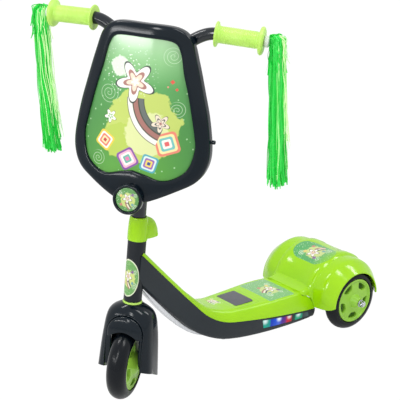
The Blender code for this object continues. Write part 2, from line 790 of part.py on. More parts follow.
def pocket(rim_r, turn, floor, mouth):
    """Cutter of one opening of a hub: a trapezoid with soft corners and a little draft."""
    low, high = rim_r * HOLE_INNER_R, rim_r * HOLE_OUTER_R
    wide, narrow = HOLE_SPREAD / 2, HOLE_SPREAD / 2 * HOLE_NARROW
    side = [(low, narrow * 0.55), (low + HOLE_CORNER, narrow), (high - HOLE_CORNER, wide), (high, wide * 0.72)]
    polar = [(r, -b) for r, b in side] + [(high, 0.0)] + [(r, b) for r, b in reversed(side)]
    points = [(r * cos(turn + b), r * sin(turn + b)) for r, b in polar]
    mid = (low + high) / 2
    cy, cz = mid * cos(turn), mid * sin(turn)
    rings = []
    for x, share in ((floor, HOLE_DRAFT), (mouth, 1.0)):
        rings.append([Vector((x, cy + (y - cy) * share, cz + (z - cz) * share)) for y, z in points])
    return skin(rings)


def wheel_hub(name, rim_r, half, inside, outside, web_x, sides):
    """Green hub: rim, thick web with five deep pockets on each open side, and a long boss.

    The inside and outside are (x, radius) points from the boss's end towards the rim.
    """
    bore = AXLE_R + RUN
    profile = [(inside[0][0], bore)] + inside + [(-half, rim_r - RIM_WALL), (-half, rim_r), (half, rim_r),
                                                 (half, rim_r - RIM_WALL)]
    profile += outside[::-1] + [(outside[0][0], bore)]
    obj = solid(name, turned(profile, 30))
    for k in range(HOLE_COUNT):
        a = HOLE_PHASE + 2 * pi * k / HOLE_COUNT
        for way in sides:
            floor, mouth = web_x + way * WEB_HALF, way * (half + FRONT_CONE_RISE) * 1.3
            combine(obj, solid("cutter", pocket(rim_r, a, floor, mouth)))
    return obj


def tyre(name, radius, half, rim_r, steps):
    """Solid rubber tyre with a round tread and a foot that grips the rim."""
    foot = rim_r + FIT
    seat = half * 0.86
    shoulder = radius - half
    profile = [(-seat, foot)]
    profile += [(-half * cos(a), shoulder + half * sin(a)) for a in [pi * i / 6 for i in range(7)]]
    profile.append((seat, foot))
    return solid(name, turned(profile, steps))


def front_wheel(steering):
    carrier = pivot("front_wheel_pivot", Matrix.Translation((0, -FRONT_LEAD, FRONT_AXLE_Z)), steering)
    half = FRONT_HUB_HALF
    outside = [
        (FRONT_BOSS_REACH, BOSS_R), (half + FRONT_CONE_TIP, BOSS_R), (half + FRONT_CONE_TIP - 0.0015, BOSS_CONE_R),
        (half + FRONT_CONE_RISE, FRONT_CONE_R), (half - 0.0004, FRONT_RIM_R - RIM_WALL - 0.0004),
    ]
    inside = [(-x, r) for x, r in outside]
    hub = wheel_hub("front_hub", FRONT_RIM_R, half, inside, outside, 0.0, (1, -1))
    place(hub, GREEN, carrier, roughness=0.35)
    rubber = tyre("front_tyre", FRONT_R, FRONT_TYRE_HALF, FRONT_RIM_R, 36)
    place(rubber, RUBBER, carrier, roughness=0.35)


def rear_wheels():
    """Two rear wheels; the right one is the left one turned half round."""
    centre = Matrix.Translation((REAR_TRACK_HALF, REAR_AXLE_Y, REAR_AXLE_Z))
    inward = REAR_TRACK_HALF - WELL_INNER - RUN
    inner, half = REAR_RIM_R - RIM_WALL, REAR_HUB_HALF
    back = REAR_WEB_X - WEB_HALF
    inside = [(-inward, BOSS_R), (back - 0.0030, BOSS_R + 0.002), (back, BOSS_CONE_R), (back - 0.0015, inner - 0.001)]
    outside = [(REAR_BOSS_REACH, BOSS_END_R), (half - 0.0010, BOSS_CONE_R), (half - 0.0026, inner - 0.0010)]
    hub = wheel_hub("rear_hub_left", REAR_RIM_R, half, inside, outside, REAR_WEB_X, (1,))
    rubber = tyre("rear_tyre_left", REAR_R, REAR_TYRE_HALF, REAR_RIM_R, 32)
    left = pivot("rear_left_pivot", centre)
    half_round = Matrix.Rotation(pi, 4, "Z")
    right = pivot("rear_right_pivot", half_round @ Matrix.Translation(
        (REAR_TRACK_HALF, -REAR_AXLE_Y, REAR_AXLE_Z)))
    place(copy_of(hub, "rear_hub_right"), GREEN, right, roughness=0.35)
    place(copy_of(rubber, "rear_tyre_right"), RUBBER, right, roughness=0.5)
    place(hub, GREEN, left, roughness=0.35)
    place(rubber, RUBBER, left, roughness=0.5)


def rear_axle_pieces():
    """Axle, its tube under the housing, and a washer and nut at each end."""
    at = Matrix.Translation((0, REAR_AXLE_Y, REAR_AXLE_Z))
    boss_end = REAR_TRACK_HALF + REAR_BOSS_REACH
    washer = boss_end + RUN
    nut = washer + WASHER_T + FIT
    reach = nut + NUT_T + 0.0025
    rod = [(-reach, 0), (-reach, AXLE_R - 0.0008), (-reach + 0.0008, AXLE_R)]
    rod += [(reach - 0.0008, AXLE_R), (reach, AXLE_R - 0.0008), (reach, 0)]
    place(solid("rear_axle", turned(rod, 16)), STEEL, matrix=at, roughness=0.3, metallic=1.0)
    sleeve = tube_profile(-AXLE_TUBE_HALF, AXLE_TUBE_HALF, AXLE_R + FIT, AXLE_TUBE_R)
    place(solid("axle_tube", turned(sleeve, 32)), STEEL, matrix=at, roughness=0.4, metallic=1.0)
    for side, word in ((1, "left"), (-1, "right")):
        flip = at @ (Matrix() if side > 0 else Matrix.Rotation(pi, 4, "Z"))
        ring = tube_profile(washer, washer + WASHER_T, AXLE_R + FIT, WASHER_R)
        obj = solid("rear_washer_" + word, turned(ring, 16))
        place(obj, STEEL, matrix=flip, roughness=0.3, metallic=1.0)
        obj = solid("rear_nut_" + word, turned([(nut, 0), (nut, NUT_R), (nut + NUT_T, NUT_R), (nut + NUT_T, 0)], 6))
        bore = [(nut - 0.01, 0), (nut - 0.01, AXLE_R + FIT), (nut + 0.02, AXLE_R + FIT), (nut + 0.02, 0)]
        combine(obj, solid("cutter", turned(bore, 16)))
        place(obj, STEEL, matrix=flip, roughness=0.3, metallic=1.0)


def fender_outline(angle):
    """Outer (x, radius) points of one fender at an angle round the axle."""
    share = min(max((angle - TAPER_START) / (pi - TAPER_START), 0.0), 1.0)
    share *= share * (3 - 2 * share)
    return [(REAR_TRACK_HALF + x, top + (front - top) * share) for x, top, front in FENDER_OUTLINE]


def housing_outline(angle):
    """Whole outer outline of barrel and fenders, from the right lip to the left one."""
    half = [(0.0, BARREL_R)] + [(REAR_TRACK_HALF + x, BARREL_R + step) for x, step in BARREL_OUTLINE]
    half += fender_outline(angle)
    lip = half[-1][0]
    other = [(-x, r) for x, r in reversed(half[1:])]
    return [(-lip, 0)] + other + half + [(lip, 0)]


def well_outline(angle):
    """Outline of the room for one wheel: the fender's, set in by the wall."""
    points = fender_outline(angle)
    inner = [(WELL_INNER, 0), (WELL_INNER, points[1][1] - WALL - 0.0015)]
    for before, here, after in zip(points, points[1:], points[2:]):
        way = Vector((after[0] - before[0], after[1] - before[1])).normalized()
        depth = WALL * 0.8
        inner.append((here[0] + way.y * depth, here[1] - way.x * depth))
    reach = points[-1][0]
    return inner + [(reach - WALL, FENDER_LIP_R), (reach + 0.01, FENDER_LIP_R), (reach + 0.01, 0)]


def hollow_outline(angle):
    """Outline of the room under the barrel, between the two wheel wells."""
    reach = WELL_INNER - WALL
    barrel = BARREL_R + min(step for _, step in BARREL_OUTLINE)
    radius = min(barrel, fender_outline(angle)[1][1]) - WALL - 0.001
    return [(-reach, 0), (-reach, radius), (reach, radius), (reach, 0)]


def ramp_solid(inset):
    """Ramp from the seam up to the barrel, with sloping sides and rounded edges."""
    share = LINE.share_at(SEAM_Y)
    rise = between(DECK_STATIONS, share)[2]
    start = Vector((SEAM_Y, LINE.lift(share, 0, rise + DECK_CROWN).z))
    meet = Vector((REAR_AXLE_Y + BARREL_R * cos(RAMP_MEET), REAR_AXLE_Z + BARREL_R * sin(RAMP_MEET)))
    run = meet.x - start.x
    knee = Vector((start.x + run * 0.78, start.y + 0.001))
    lift = Vector((meet.x - run * 0.10, meet.y - (meet.y - start.y) * 0.55))
    steps = 7
    rings = []
    for i in range(-1, steps + 2):
        t = min(max(i / steps, 0.0), 1.0)
        p = (1 - t) ** 3 * start + 3 * (1 - t) ** 2 * t * knee + 3 * (1 - t) * t * t * lift + t ** 3 * meet
        if i < 0:
            p.x -= 0.03
        if i > steps:
            p = Vector((REAR_AXLE_Y, REAR_AXLE_Z + BARREL_R * 0.7))
        half = RAMP_FRONT_HALF + (RAMP_BACK_HALF - RAMP_FRONT_HALF) * t - inset
        low, top = RAMP_LOW_HALF - inset, p.y - inset
        outline = [(low, -0.01), (low, HOUSING_BOTTOM_Z)]
        outline += fillet((half, top), (low, HOUSING_BOTTOM_Z), (0, top), RAMP_ROUND)
        rings.append([Vector((x, p.x, z)) for x, z in mirrored(outline)])
    return solid("tool", skin(rings))


def rear_housing():
    """Green housing: a barrel between two fenders, with a ramp down to the deck."""
    at = Matrix.Translation((0, REAR_AXLE_Y, REAR_AXLE_Z))
    steps = 36
    obj = solid("rear_housing", moved(turned(housing_outline, steps), at))
    combine(obj, ramp_solid(0.0), "UNION", "MANIFOLD")
    cutters = [moved(turned(hollow_outline, steps), at)]
    mirror = Matrix.Diagonal((-1, 1, 1, 1))
    for flip in (Matrix(), mirror):
        cutters.append(moved(turned(well_outline, steps), at @ flip))
    lift = [(REAR_TRACK_HALF + x, HOUSING_BOTTOM_Z + z) for x, z in BOTTOM_LIFT]
    edge = [(-lift[0][0], -0.05), (lift[0][0], -0.05)] + mirrored(lift)
    cutters.append(skin([[Vector((x, y, z)) for x, z in edge] for y in (0.0, 0.4)]))
    hole = [(-0.2, 0), (-0.2, AXLE_R + FIT), (0.2, AXLE_R + FIT), (0.2, 0)]
    cutters.append(moved(turned(hole, 24), at))
    combine(obj, ramp_solid(WALL), solver="MANIFOLD")
    for cutter in cutters:
        combine(obj, solid("cutter", cutter), solver="MANIFOLD")
    seam = solid("tool", extruded(seam_outline(2 * FIT), -0.2, 0.2))
    combine(obj, seam, "INTERSECT", "MANIFOLD")
    return place(obj, GREEN, roughness=0.2)


def foot_switch():
    """Pad that clicks down into the deck, over a spring on the sound board."""
    carrier = pivot("foot_pad_pivot", PAD)
    top, low = PAD_PROUD, PAD_PROUD - PAD_T
    outline = rounded_box(PAD_HALF_X, PAD_HALF_Y, PAD_CORNER)
    obj = solid("foot_pad", slab(outline, low, top))
    lip = rounded_box(PAD_HALF_X + PAD_LIP, PAD_HALF_Y + PAD_LIP, PAD_CORNER)
    combine(obj, solid("tool", slab(lip, low, low + PAD_LIP_T)), "UNION")
    place(obj, GREY, carrier, roughness=0.6)
    edge = PAD_LIP + 2 * FIT + CARRIER_WALL
    floor = -CARRIER_DEPTH
    tray = slab(rounded_box(PAD_HALF_X + edge, PAD_HALF_Y + edge, PAD_CORNER), floor, 0.0)
    obj = solid("switch_carrier", moved(tray, PAD))
    inside = rounded_box(PAD_HALF_X + edge - CARRIER_WALL, PAD_HALF_Y + edge - CARRIER_WALL, PAD_CORNER)
    hollow = moved(slab(inside, floor + CARRIER_WALL, 0.02), PAD)
    combine(obj, solid("cutter", hollow), solver="MANIFOLD")
    under = solid("tool", deck_loft(lambda s: cover_section(s, WALL + 2 * FIT, -0.012), SHARES))
    combine(obj, under, "INTERSECT", "MANIFOLD")
    place(obj, BLACK, roughness=0.6)
    board_low = floor + CARRIER_WALL + FIT
    board = slab(rounded_box(PAD_HALF_X - 0.004, PAD_HALF_Y - 0.003, 0.001), board_low, board_low + BOARD_T)
    place(solid("sound_board", moved(board, PAD)), BOARD, roughness=0.4)
    spring_low, spring_high = board_low + BOARD_T + FIT, low - FIT
    wire, turns, per_turn = 0.0005, 3, 9
    rise = spring_high - spring_low - 2 * wire
    rings = []
    for i in range(turns * per_turn + 1):
        t = i / (turns * per_turn)
        a = 2 * pi * turns * t
        centre = Vector((SPRING_R * cos(a), SPRING_R * sin(a), spring_low + wire + rise * t))
        out = Vector((cos(a), sin(a), 0))
        rings.append([centre + wire * (out * cos(b) + Vector((0, 0, 1)) * sin(b)) for b in
                      [2 * pi * k / 5 for k in range(5)]])
    place(solid("pad_spring", moved(skin(rings), PAD)), STEEL, roughness=0.3, metallic=1.0)


def floor_frame():
    """Matrix on the shell's inner floor under the battery bay."""
    ends = []
    for y in (BAY_Y - BAY_HALF_Y, BAY_Y + BAY_HALF_Y):
        share = LINE.share_at(y)
        ends.append(LINE.lift(share, 0, -(between(DECK_STATIONS, share)[3] - WALL)))
    along = ends[1] - ends[0]
    return Matrix.Translation((ends[0] + ends[1]) / 2) @ Matrix.Rotation(atan2(along.z, along.y), 4, "X")


def inside_deck():
    """Battery case with two cells, speaker and the lamp boards."""
    floor = floor_frame()
    gap = 2 * FIT
    at = floor @ Matrix.Translation((BAY_X, 0, gap))
    half_x, half_y = BAY_HALF_X + CASE_T, BAY_HALF_Y + CASE_T
    case = solid("battery_case", box((-half_x, -half_y, 0), (half_x, half_y, CASE_HEIGHT)))
    hollow = box((-BAY_HALF_X, -BAY_HALF_Y, -0.01), (BAY_HALF_X, BAY_HALF_Y, CASE_HEIGHT - CASE_T))
    combine(case, solid("cutter", hollow))
    place(case, BLACK, matrix=at, roughness=0.5)
    lie = Matrix.Rotation(pi / 2, 4, "Z")
    half = CELL_LENGTH / 2
    cell = [(-half, 0), (-half, CELL_R), (half, CELL_R), (half, 0.0018), (half + 0.0010, 0.0018), (half + 0.0010, 0)]
    for number, side in ((1, -1), (2, 1)):
        spot = at @ Matrix.Translation((side * CELL_PITCH / 2, 0, CASE_HEIGHT - CASE_T - CELL_R - FIT)) @ lie
        name = "battery_cell_%d" % number
        place(solid(name, turned(cell, 14)), STEEL, matrix=spot, roughness=0.3, metallic=0.6)
    spot = floor @ Matrix.Translation((SPEAKER_X, 0, gap)) @ UPRIGHT
    drum = [(0, 0), (0, SPEAKER_R), (0.0025, SPEAKER_R), (SPEAKER_HEIGHT, SPEAKER_R * 0.55), (SPEAKER_HEIGHT, 0)]
    place(solid("speaker", turned(drum, 20)), GREY, matrix=spot, roughness=0.5)
    for side, word in ((1, "left"), (-1, "right")):
        obj = solid("led_board_" + word, deck_loft(lambda s: shell_section(s, WALL + FIT, 0.002), SHARES))
        inner = deck_loft(lambda s: shell_section(s, WALL + FIT + BOARD_T, 0.004), SHARES)
        combine(obj, solid("cutter", inner), solver="MANIFOLD")
        near, far = (0.035, 0.09) if side > 0 else (-0.09, -0.035)
        combine(obj, solid("tool", extruded(lens_outline(-0.001), near, far)), "INTERSECT", "MANIFOLD")
        place(obj, BOARD, roughness=0.5)


def streamer(name, parent, hinge, side):
    """Plain solid in the place of one hanging bundle of ribbons."""
    middle = STREAMER_TOP_HALF + FIT
    levels = ((STREAMER_RISE, 0.55), (STREAMER_RISE * 0.6, 0.9), (0.0, 1.0))
    levels += ((-STREAMER_LENGTH * 0.5, 1.22), (-STREAMER_LENGTH * 0.9, 1.42), (-STREAMER_LENGTH, 1.25))
    rings = []
    for z, grow in levels:
        half = STREAMER_TOP_HALF * grow
        x = side * (middle + max(half - STREAMER_TOP_HALF, 0.0))
        rings.append([Vector((x + half * cos(a), half * 0.85 * sin(a), z))
                      for a in [2 * pi * k / 16 for k in range(16)]])
    place(solid(name, skin(rings)), STREAMER, parent, hinge, roughness=0.4)


def grip_frame(side):
    """Matrix of one grip: X runs outwards along the bar from the inner flange."""
    way = Vector((side * cos(GRIP_SWEEP) * cos(GRIP_FALL), sin(GRIP_SWEEP), -sin(GRIP_FALL)))
    return aim(Vector((side * GRIP_START_X, GRIP_Y, GRIP_Z)), way)


def bar_points():
    """Centre line of the handlebar from the middle to the end of the left grip."""
    frame = grip_frame(1)
    inner = frame @ Vector((0, 0, 0))
    out = frame.to_3x3() @ Vector((1, 0, 0))
    centre = Vector((0, 0, BAR_CENTRE_Z))
    low = Vector((0.34 * GRIP_START_X, 0, BAR_CENTRE_Z + 0.003))
    shoulder = inner - out * 0.030
    points = [centre, Vector((0.020, 0, BAR_CENTRE_Z))]
    for i in range(1, 10):
        t = i / 10
        p = (1 - t) ** 3 * points[1] + 3 * (1 - t) ** 2 * t * low + 3 * (1 - t) * t * t * shoulder + t ** 3 * inner
        points.append(p)
    points.append(inner)
    points.append(frame @ Vector((GRIP_LENGTH - GRIP_END_WALL - FIT, 0, 0)))
    return points


def swept(points, radius, count=14):
    """Round bar along a line of points."""
    rings = []
    for i, p in enumerate(points):
        ahead = points[min(i + 1, len(points) - 1)] - points[max(i - 1, 0)]
        along = ahead.normalized()
        side = Vector((0, 1, 0)).cross(along).normalized()
        up = along.cross(side)
        rings.append([p + radius * (side * cos(a) + up * sin(a)) for a in
                      [2 * pi * k / count for k in range(count)]])
    return skin(rings)


def handlebar(steering):
    half = bar_points()
    other = [Vector((-p.x, p.y, p.z)) for p in reversed(half[1:])]
    place(solid("handlebar", swept(other + half, BAR_R)), BLACK, steering, roughness=0.15)
    column = [(COLUMN_FOOT, 0), (COLUMN_FOOT, COLUMN_R), (BAR_CENTRE_Z, COLUMN_R), (BAR_CENTRE_Z, 0)]
    obj = solid("steering_column", on_axis(column, 32))
    saddle = [(-0.05, 0), (-0.05, BAR_R + FIT), (0.05, BAR_R + FIT), (0.05, 0)]
    combine(obj, solid("cutter", moved(turned(saddle, 28), Matrix.Translation((0, 0, BAR_CENTRE_Z)))))
    combine(obj, solid("cutter", box((-0.05, -0.05, BAR_CENTRE_Z - 0.003), (0.05, 0.05, BAR_CENTRE_Z + 0.05))))
    place(obj, BLACK, steering, roughness=0.2)


def grips(steering):
    for side, word in ((1, "left"), (-1, "right")):
        frame = grip_frame(side)
        bore = BAR_R + FIT
        end, wall = GRIP_LENGTH, GRIP_END_WALL
        stem = PLUG_STEM_R + FIT
        profile = [
            (0.0, bore), (0.0, INNER_FLANGE_R - 0.001), (INNER_FLANGE_T * 0.5, INNER_FLANGE_R),
            (INNER_FLANGE_T, INNER_FLANGE_R - 0.001), (INNER_FLANGE_T + 0.002, GRIP_R),
            (end - OUTER_FLANGE_T - 0.002, GRIP_R), (end - OUTER_FLANGE_T, OUTER_FLANGE_R - 0.0015),
            (end - OUTER_FLANGE_T * 0.6, OUTER_FLANGE_R), (end - 0.0015, OUTER_FLANGE_R - 0.001),
            (end, OUTER_FLANGE_R - 0.004), (end, stem), (end - wall, stem), (end - wall, bore),
        ]
        place(solid("grip_" + word, turned(profile, 20)), GREEN, steering, frame, roughness=0.45)
        head = end + FIT
        plug = [
            (end - wall + FIT, 0), (end - wall + FIT, PLUG_STEM_R), (head, PLUG_STEM_R), (head, PLUG_R),
            (head + PLUG_T - 0.0015, PLUG_R), (head + PLUG_T, PLUG_R - 0.0015), (head + PLUG_T, 0),
        ]
        place(solid("end_plug_" + word, turned(plug, 16)), WHITE, steering, frame, roughness=0.4)
        tip = frame @ Vector((head + PLUG_T + FIT, 0, 0))
        upright = STEER.to_3x3().inverted().to_4x4()
        heading = STEER.to_3x3() @ (frame.to_3x3() @ Vector((side, 0, 0)))
        face = Matrix.Rotation(atan2(heading.y, heading.x), 4, "Z")
        hinge = Matrix.Translation(tip) @ upright @ face
        carrier = pivot("streamer_pivot_" + word, hinge, steering)
        streamer("streamer_" + word, carrier, Matrix(), side)


def bowed(x, z):
    """Depth of the shield's face at a point."""
    return SHIELD_FACE_Y + SHIELD_LEAN * (z - SHIELD_MID_Z) + SHIELD_BOW * x * x


def outline_reader(outline):
    """Function from x to the lowest and highest z of a shield outline."""
    points = []
    for k in range(len(outline) - 1):
        p0, p1 = Vector(outline[max(k - 1, 0)]), Vector(outline[k])
        p2, p3 = Vector(outline[k + 1]), Vector(outline[min(k + 2, len(outline) - 1)])
        for i in range(6):
            t = i / 6
            a = 2 * p1 - 2 * p2 + (p2 - p0) / 2 + (p3 - p1) / 2
            b = 3 * p2 - 3 * p1 - (p2 - p0) - (p3 - p1) / 2
            points.append(((a * t + b) * t + (p2 - p0) / 2) * t + p1)
    points.append(Vector(outline[-1]))
    tip = max(range(len(points)), key=lambda k: points[k].x)

    def crossing(part, x):
        for one, two in zip(part, part[1:]):
            if min(one.x, two.x) - 1e-9 <= x <= max(one.x, two.x) + 1e-9:
                share = (x - one.x) / (two.x - one.x) if abs(two.x - one.x) > 1e-9 else 0.5
                return one.y + (two.y - one.y) * share
        return points[tip].y

    def read(x):
        x = min(abs(x), points[tip].x)
        return crossing(points[tip:], x), crossing(points[:tip + 1], x)

    return read, points[tip].x


def shield_plate(outline, front, back, inset=0.0, bevel=0.0):
    """Mesh of a bowed plate between two depths, in strips across its width."""
    read, reach = outline_reader(outline)
    reach -= inset
    steps = 12
    rings = []
    for k in range(-steps, steps + 1):
        x = reach * sin(pi / 2 * k / steps) * 0.9995
        low, high = read(x * (reach + inset) / reach)
        gap = max(high - low - 2 * inset, 0.0012)
        middle = (low + high) / 2
        low, high = middle - gap / 2, middle + gap / 2
        cut = min(bevel, gap * 0.3)
        ring = [(high, front + cut), (high, back), (low, back), (low, front + cut)]
        if bevel:
            ring += [(low + cut, front), (high - cut, front)]
        rings.append([Vector((x, bowed(x, z) + depth, z)) for z, depth in ring])
    return skin(rings)


def shield(steering):
    """Bordered shield: frame, picture panel and back, all bowed alike."""
    frame = solid("shield_frame", shield_plate(SHIELD_OUTLINE, -BORDER_PROUD, SHIELD_DEPTH, bevel=0.004))
    deep = 0.04
    combine(frame, solid("cutter", shield_plate(SHIELD_OUTLINE, BORDER_PLATE, deep, WALL)), solver="MANIFOLD")
    combine(frame, solid("cutter", shield_plate(PANEL_OUTLINE, -deep, deep)), solver="MANIFOLD")
    place(frame, BLACK, steering, roughness=0.3)
    back_front = BORDER_PLATE + FIT
    panel = shield_plate(PANEL_OUTLINE, BORDER_PLATE - PANEL_T, BORDER_PLATE, FIT)
    place(solid("shield_panel", panel), DARK_GREEN, steering, roughness=0.08)
    back = shield_plate(SHIELD_OUTLINE, back_front, back_front + BACK_T, WALL + FIT)
    place(solid("shield_back", back), BLACK, steering, roughness=0.5)
    for name, z in (("shield_bracket_upper", BRACKET_UPPER_Z), ("shield_bracket_lower", BRACKET_LOWER_Z)):
        low, high = z - BRACKET_HEIGHT / 2, z + BRACKET_HEIGHT / 2
        face = bowed(0, z) + back_front + BACK_T
        obj = solid(name, box((-BRACKET_HALF, face - 0.004, low), (BRACKET_HALF, COLUMN_R + 0.006, high)))
        hole = [(low - 0.01, 0), (low - 0.01, COLUMN_R + FIT), (high + 0.01, COLUMN_R + FIT), (high + 0.01, 0)]
        combine(obj, solid("cutter", on_axis(hole, 24)), solver="MANIFOLD")
        rings = []
        for x in [BRACKET_HALF * 1.3 * (k / 4 - 1) for k in range(9)]:
            near = [bowed(x, zz) + back_front + BACK_T + 2 * FIT for zz in (low - 0.01, high + 0.01)]
            corners = ((low - 0.01, near[0]), (high + 0.01, near[1]), (high + 0.01, -0.2), (low - 0.01, -0.2))
            rings.append([Vector((x, y, zz)) for zz, y in corners])
        combine(obj, solid("cutter", skin(rings)), solver="MANIFOLD")
        place(obj, BLACK, steering, roughness=0.5)
    medallion(steering)
    side_stud(steering)


def side_stud(steering):
    """Small round stud on the shield's left edge."""
    read, reach = outline_reader(SHIELD_OUTLINE)
    edge = reach
    while read(edge)[1] < STUD_Z and edge > 0:
        edge -= 0.0002
    stud = [(0, 0), (0, STUD_R), (STUD_REACH - 0.001, STUD_R), (STUD_REACH, STUD_R - 0.001), (STUD_REACH, 0)]
    at_edge = Matrix.Translation((edge + 3 * FIT, bowed(edge, STUD_Z) + SHIELD_DEPTH * 0.55, STUD_Z))
    place(solid("side_stud", turned(stud, 16)), BLACK, steering, at_edge, roughness=0.4)


def medallion(steering):
    """Round badge holder on the shield's lower tip, and its disc."""
    forward = Matrix.Rotation(-pi / 2, 4, "Z")
    back = bowed(0, MEDAL_Z) - BORDER_PROUD - 1.5 * FIT
    at = Matrix.Translation((0, back, MEDAL_Z)) @ Matrix.Rotation(-atan(SHIELD_LEAN), 4, "X") @ forward
    depth, lip = MEDAL_DEPTH, MEDAL_DISC_R
    bezel = [
        (0, 0), (0, MEDAL_R), (depth * 0.75, MEDAL_R), (depth * 0.95, MEDAL_R - 0.0012),
        (depth, MEDAL_R - 0.0028), (depth * 0.9, lip + 0.001), (depth * 0.72, lip + FIT), (depth * 0.60, lip + FIT),
        (depth * 0.60, 0),
    ]
    place(solid("medallion_bezel", turned(bezel, 32)), BLACK, steering, at, roughness=0.25)
    face = depth * 0.60 + FIT
    disc = [(face, 0), (face, lip), (face + 0.0012, lip), (face + 0.0018, lip * 0.6), (face + 0.002, 0)]
    place(solid("medallion_disc", turned(disc, 32)), DARK_GREEN, steering, at, roughness=0.1)


def super_ring(half_x, half_y, centre_y, z, count=28, power=2.6):
    """Ring of a soft rectangle at one height."""
    ring = []
    for k in range(count):
        a = 2 * pi * (k + 0.5) / count
        c, s = cos(a), sin(a)
        scale = (abs(c) ** power + abs(s) ** power) ** (-1 / power)
        ring.append(Vector((half_x * c * scale, centre_y + half_y * s * scale, z)))
    return ring


def arch_radius():
    return FORK_SLOT_HALF - ARCH_SIDE_STEP


def arch_front(radius, stations, foot, count=16):
    """Mesh of an arch, half round on top, through stations of (y, share of the radius)."""
    centre = CROWN_TOP - ARCH_BELOW_CROWN
    rings = []
    for y, share in stations:
        r = radius * share
        ring = [Vector((r * cos(pi * k / count), y, centre + r * sin(pi * k / count))) for k in range(count + 1)]
        rings.append(ring + [Vector((-r, y, centre - foot)), Vector((r, y, centre - foot))])
    return skin(rings)


def fork(steering):
    """Moulded fork with a round crown, hollow legs and a slot for the wheel."""
    shift, centre = -FRONT_LEAD, FORK_LEVELS[-1][3]
    powers = (2.0, 2.1, 2.4, 2.8, 3.3, 3.8, 4.0)
    rings = [
        super_ring(hx, hy, cy, CROWN_TOP + z, power=p)
        for (z, hx, hy, cy), p in zip(FORK_LEVELS, powers)
    ]
    obj = solid("fork_shell", skin(rings))
    steps = 48
    arch = (FRONT_R + FORK_TYRE_GAP + GUARD_T) / cos(pi / steps) + FIT
    axle = Matrix.Translation((0, shift, FRONT_AXLE_Z))
    drum = [(-FORK_SLOT_HALF, 0), (-FORK_SLOT_HALF, arch), (FORK_SLOT_HALF, arch), (FORK_SLOT_HALF, 0)]
    combine(obj, solid("cutter", moved(turned(drum, steps), axle)), solver="MANIFOLD")
    pocket_back = -(COLUMN_R + ARCH_BACK)
    combine(obj, solid("cutter", arch_front(arch_radius(), [(pocket_back, 1.0), (-0.08, 1.0)], 0.03)), solver="MANIFOLD")
    low_z = CROWN_TOP + FORK_LEVELS[-1][0]
    depth = FORK_LEVELS[-1][2] - FORK_LEG_FLANGE
    hollow_top = FRONT_AXLE_Z + 0.045
    front = FORK_HOLLOW_START_Y
    outline = [
        (front, low_z - 0.01), (centre + depth, low_z - 0.01), (centre + depth, hollow_top - 0.012),
        (centre + depth * 0.6, hollow_top), (front + 0.006, hollow_top), (front, hollow_top - 0.006),
    ]
    combine(obj, solid("cutter", extruded(outline, -FORK_LEG_INSIDE, FORK_LEG_INSIDE)), solver="MANIFOLD")
    legs_end = [
        (centre - 0.070, low_z + 0.0320), (centre - 0.036, low_z + 0.0242), (centre - 0.015, low_z + 0.0165),
        (centre - 0.0115, low_z + 0.0215), (centre + 0.007, low_z + 0.0060), (centre + 0.017, low_z + 0.0015),
        (centre + 0.070, low_z + 0.0015), (centre + 0.070, low_z - 0.05), (centre - 0.070, low_z - 0.05),
    ]
    combine(obj, solid("cutter", extruded(legs_end, -0.1, 0.1)), solver="MANIFOLD")
    socket = [(COLUMN_FOOT - FIT, 0), (COLUMN_FOOT - FIT, COLUMN_R + FIT), (0.2, COLUMN_R + FIT), (0.2, 0)]
    combine(obj, solid("cutter", on_axis(socket, 32)), solver="MANIFOLD")
    seat = FORK_SLOT_HALF + AXLE_SEAT + FIT
    bolt = [(-seat, 0), (-seat, AXLE_R + FIT), (seat, AXLE_R + FIT), (seat, 0)]
    combine(obj, solid("cutter", moved(turned(bolt, 24), axle)), solver="MANIFOLD")
    place(obj, BLACK, steering, roughness=0.12)
    ring = tube_profile(CROWN_TOP + FIT, CROWN_TOP + FIT + RING_T, COLUMN_R + FIT, RING_R)
    place(solid("collar_ring", on_axis(ring, 28)), GREEN, steering, roughness=0.3)


def mudguard(steering):
    """Guard over the tyre and the domed visor that closes the arch in the fork's front, in one piece."""
    inner = FRONT_R + FORK_TYRE_GAP
    turn = Matrix.Translation((0, -FRONT_LEAD, FRONT_AXLE_Z))
    back, nose = -(COLUMN_R + ARCH_BACK + 0.0006), VISOR_NOSE
    rho = arch_radius() - FIT - ARCH_SIDE_STEP
    angles = [pi / 2 * i / 7 for i in range(7)] + [radians(86)]
    dome = [(VISOR_START_Y - nose * sin(a), cos(a)) for a in angles]
    obj = solid("front_mudguard", arch_front(rho, [(back, 1.0)] + dome, VISOR_FOOT))
    hollow = [(VISOR_START_Y - (nose - GUARD_T) * sin(a), cos(a)) for a in angles]
    combine(obj, solid("cutter", arch_front(rho - GUARD_T, [(back + 0.01, 1.0)] + hollow, VISOR_FOOT + 0.01)), solver="MANIFOLD")
    count = 10
    shares = [2 * k / count - 1 for k in range(count + 1)]
    low_half = GUARD_HALF * 0.97
    lip = [(low_half * t, inner + GUARD_T / 2 - GUARD_DROP * t * t) for t in shares]
    combine(obj, solid("cutter", moved(turned([(-low_half, 0)] + lip + [(low_half, 0)], 48), turn)), solver="MANIFOLD")
    outside = [(GUARD_HALF * t, inner + GUARD_T - GUARD_DROP * t * t) for t in shares]
    profile = outside + [(x, r - GUARD_T) for x, r in reversed(outside)]
    combine(obj, solid("tool", moved(turned(profile, 10, GUARD_START, GUARD_END - GUARD_START), turn)), "UNION", "MANIFOLD")
    place(obj, BLACK, steering, roughness=0.15)


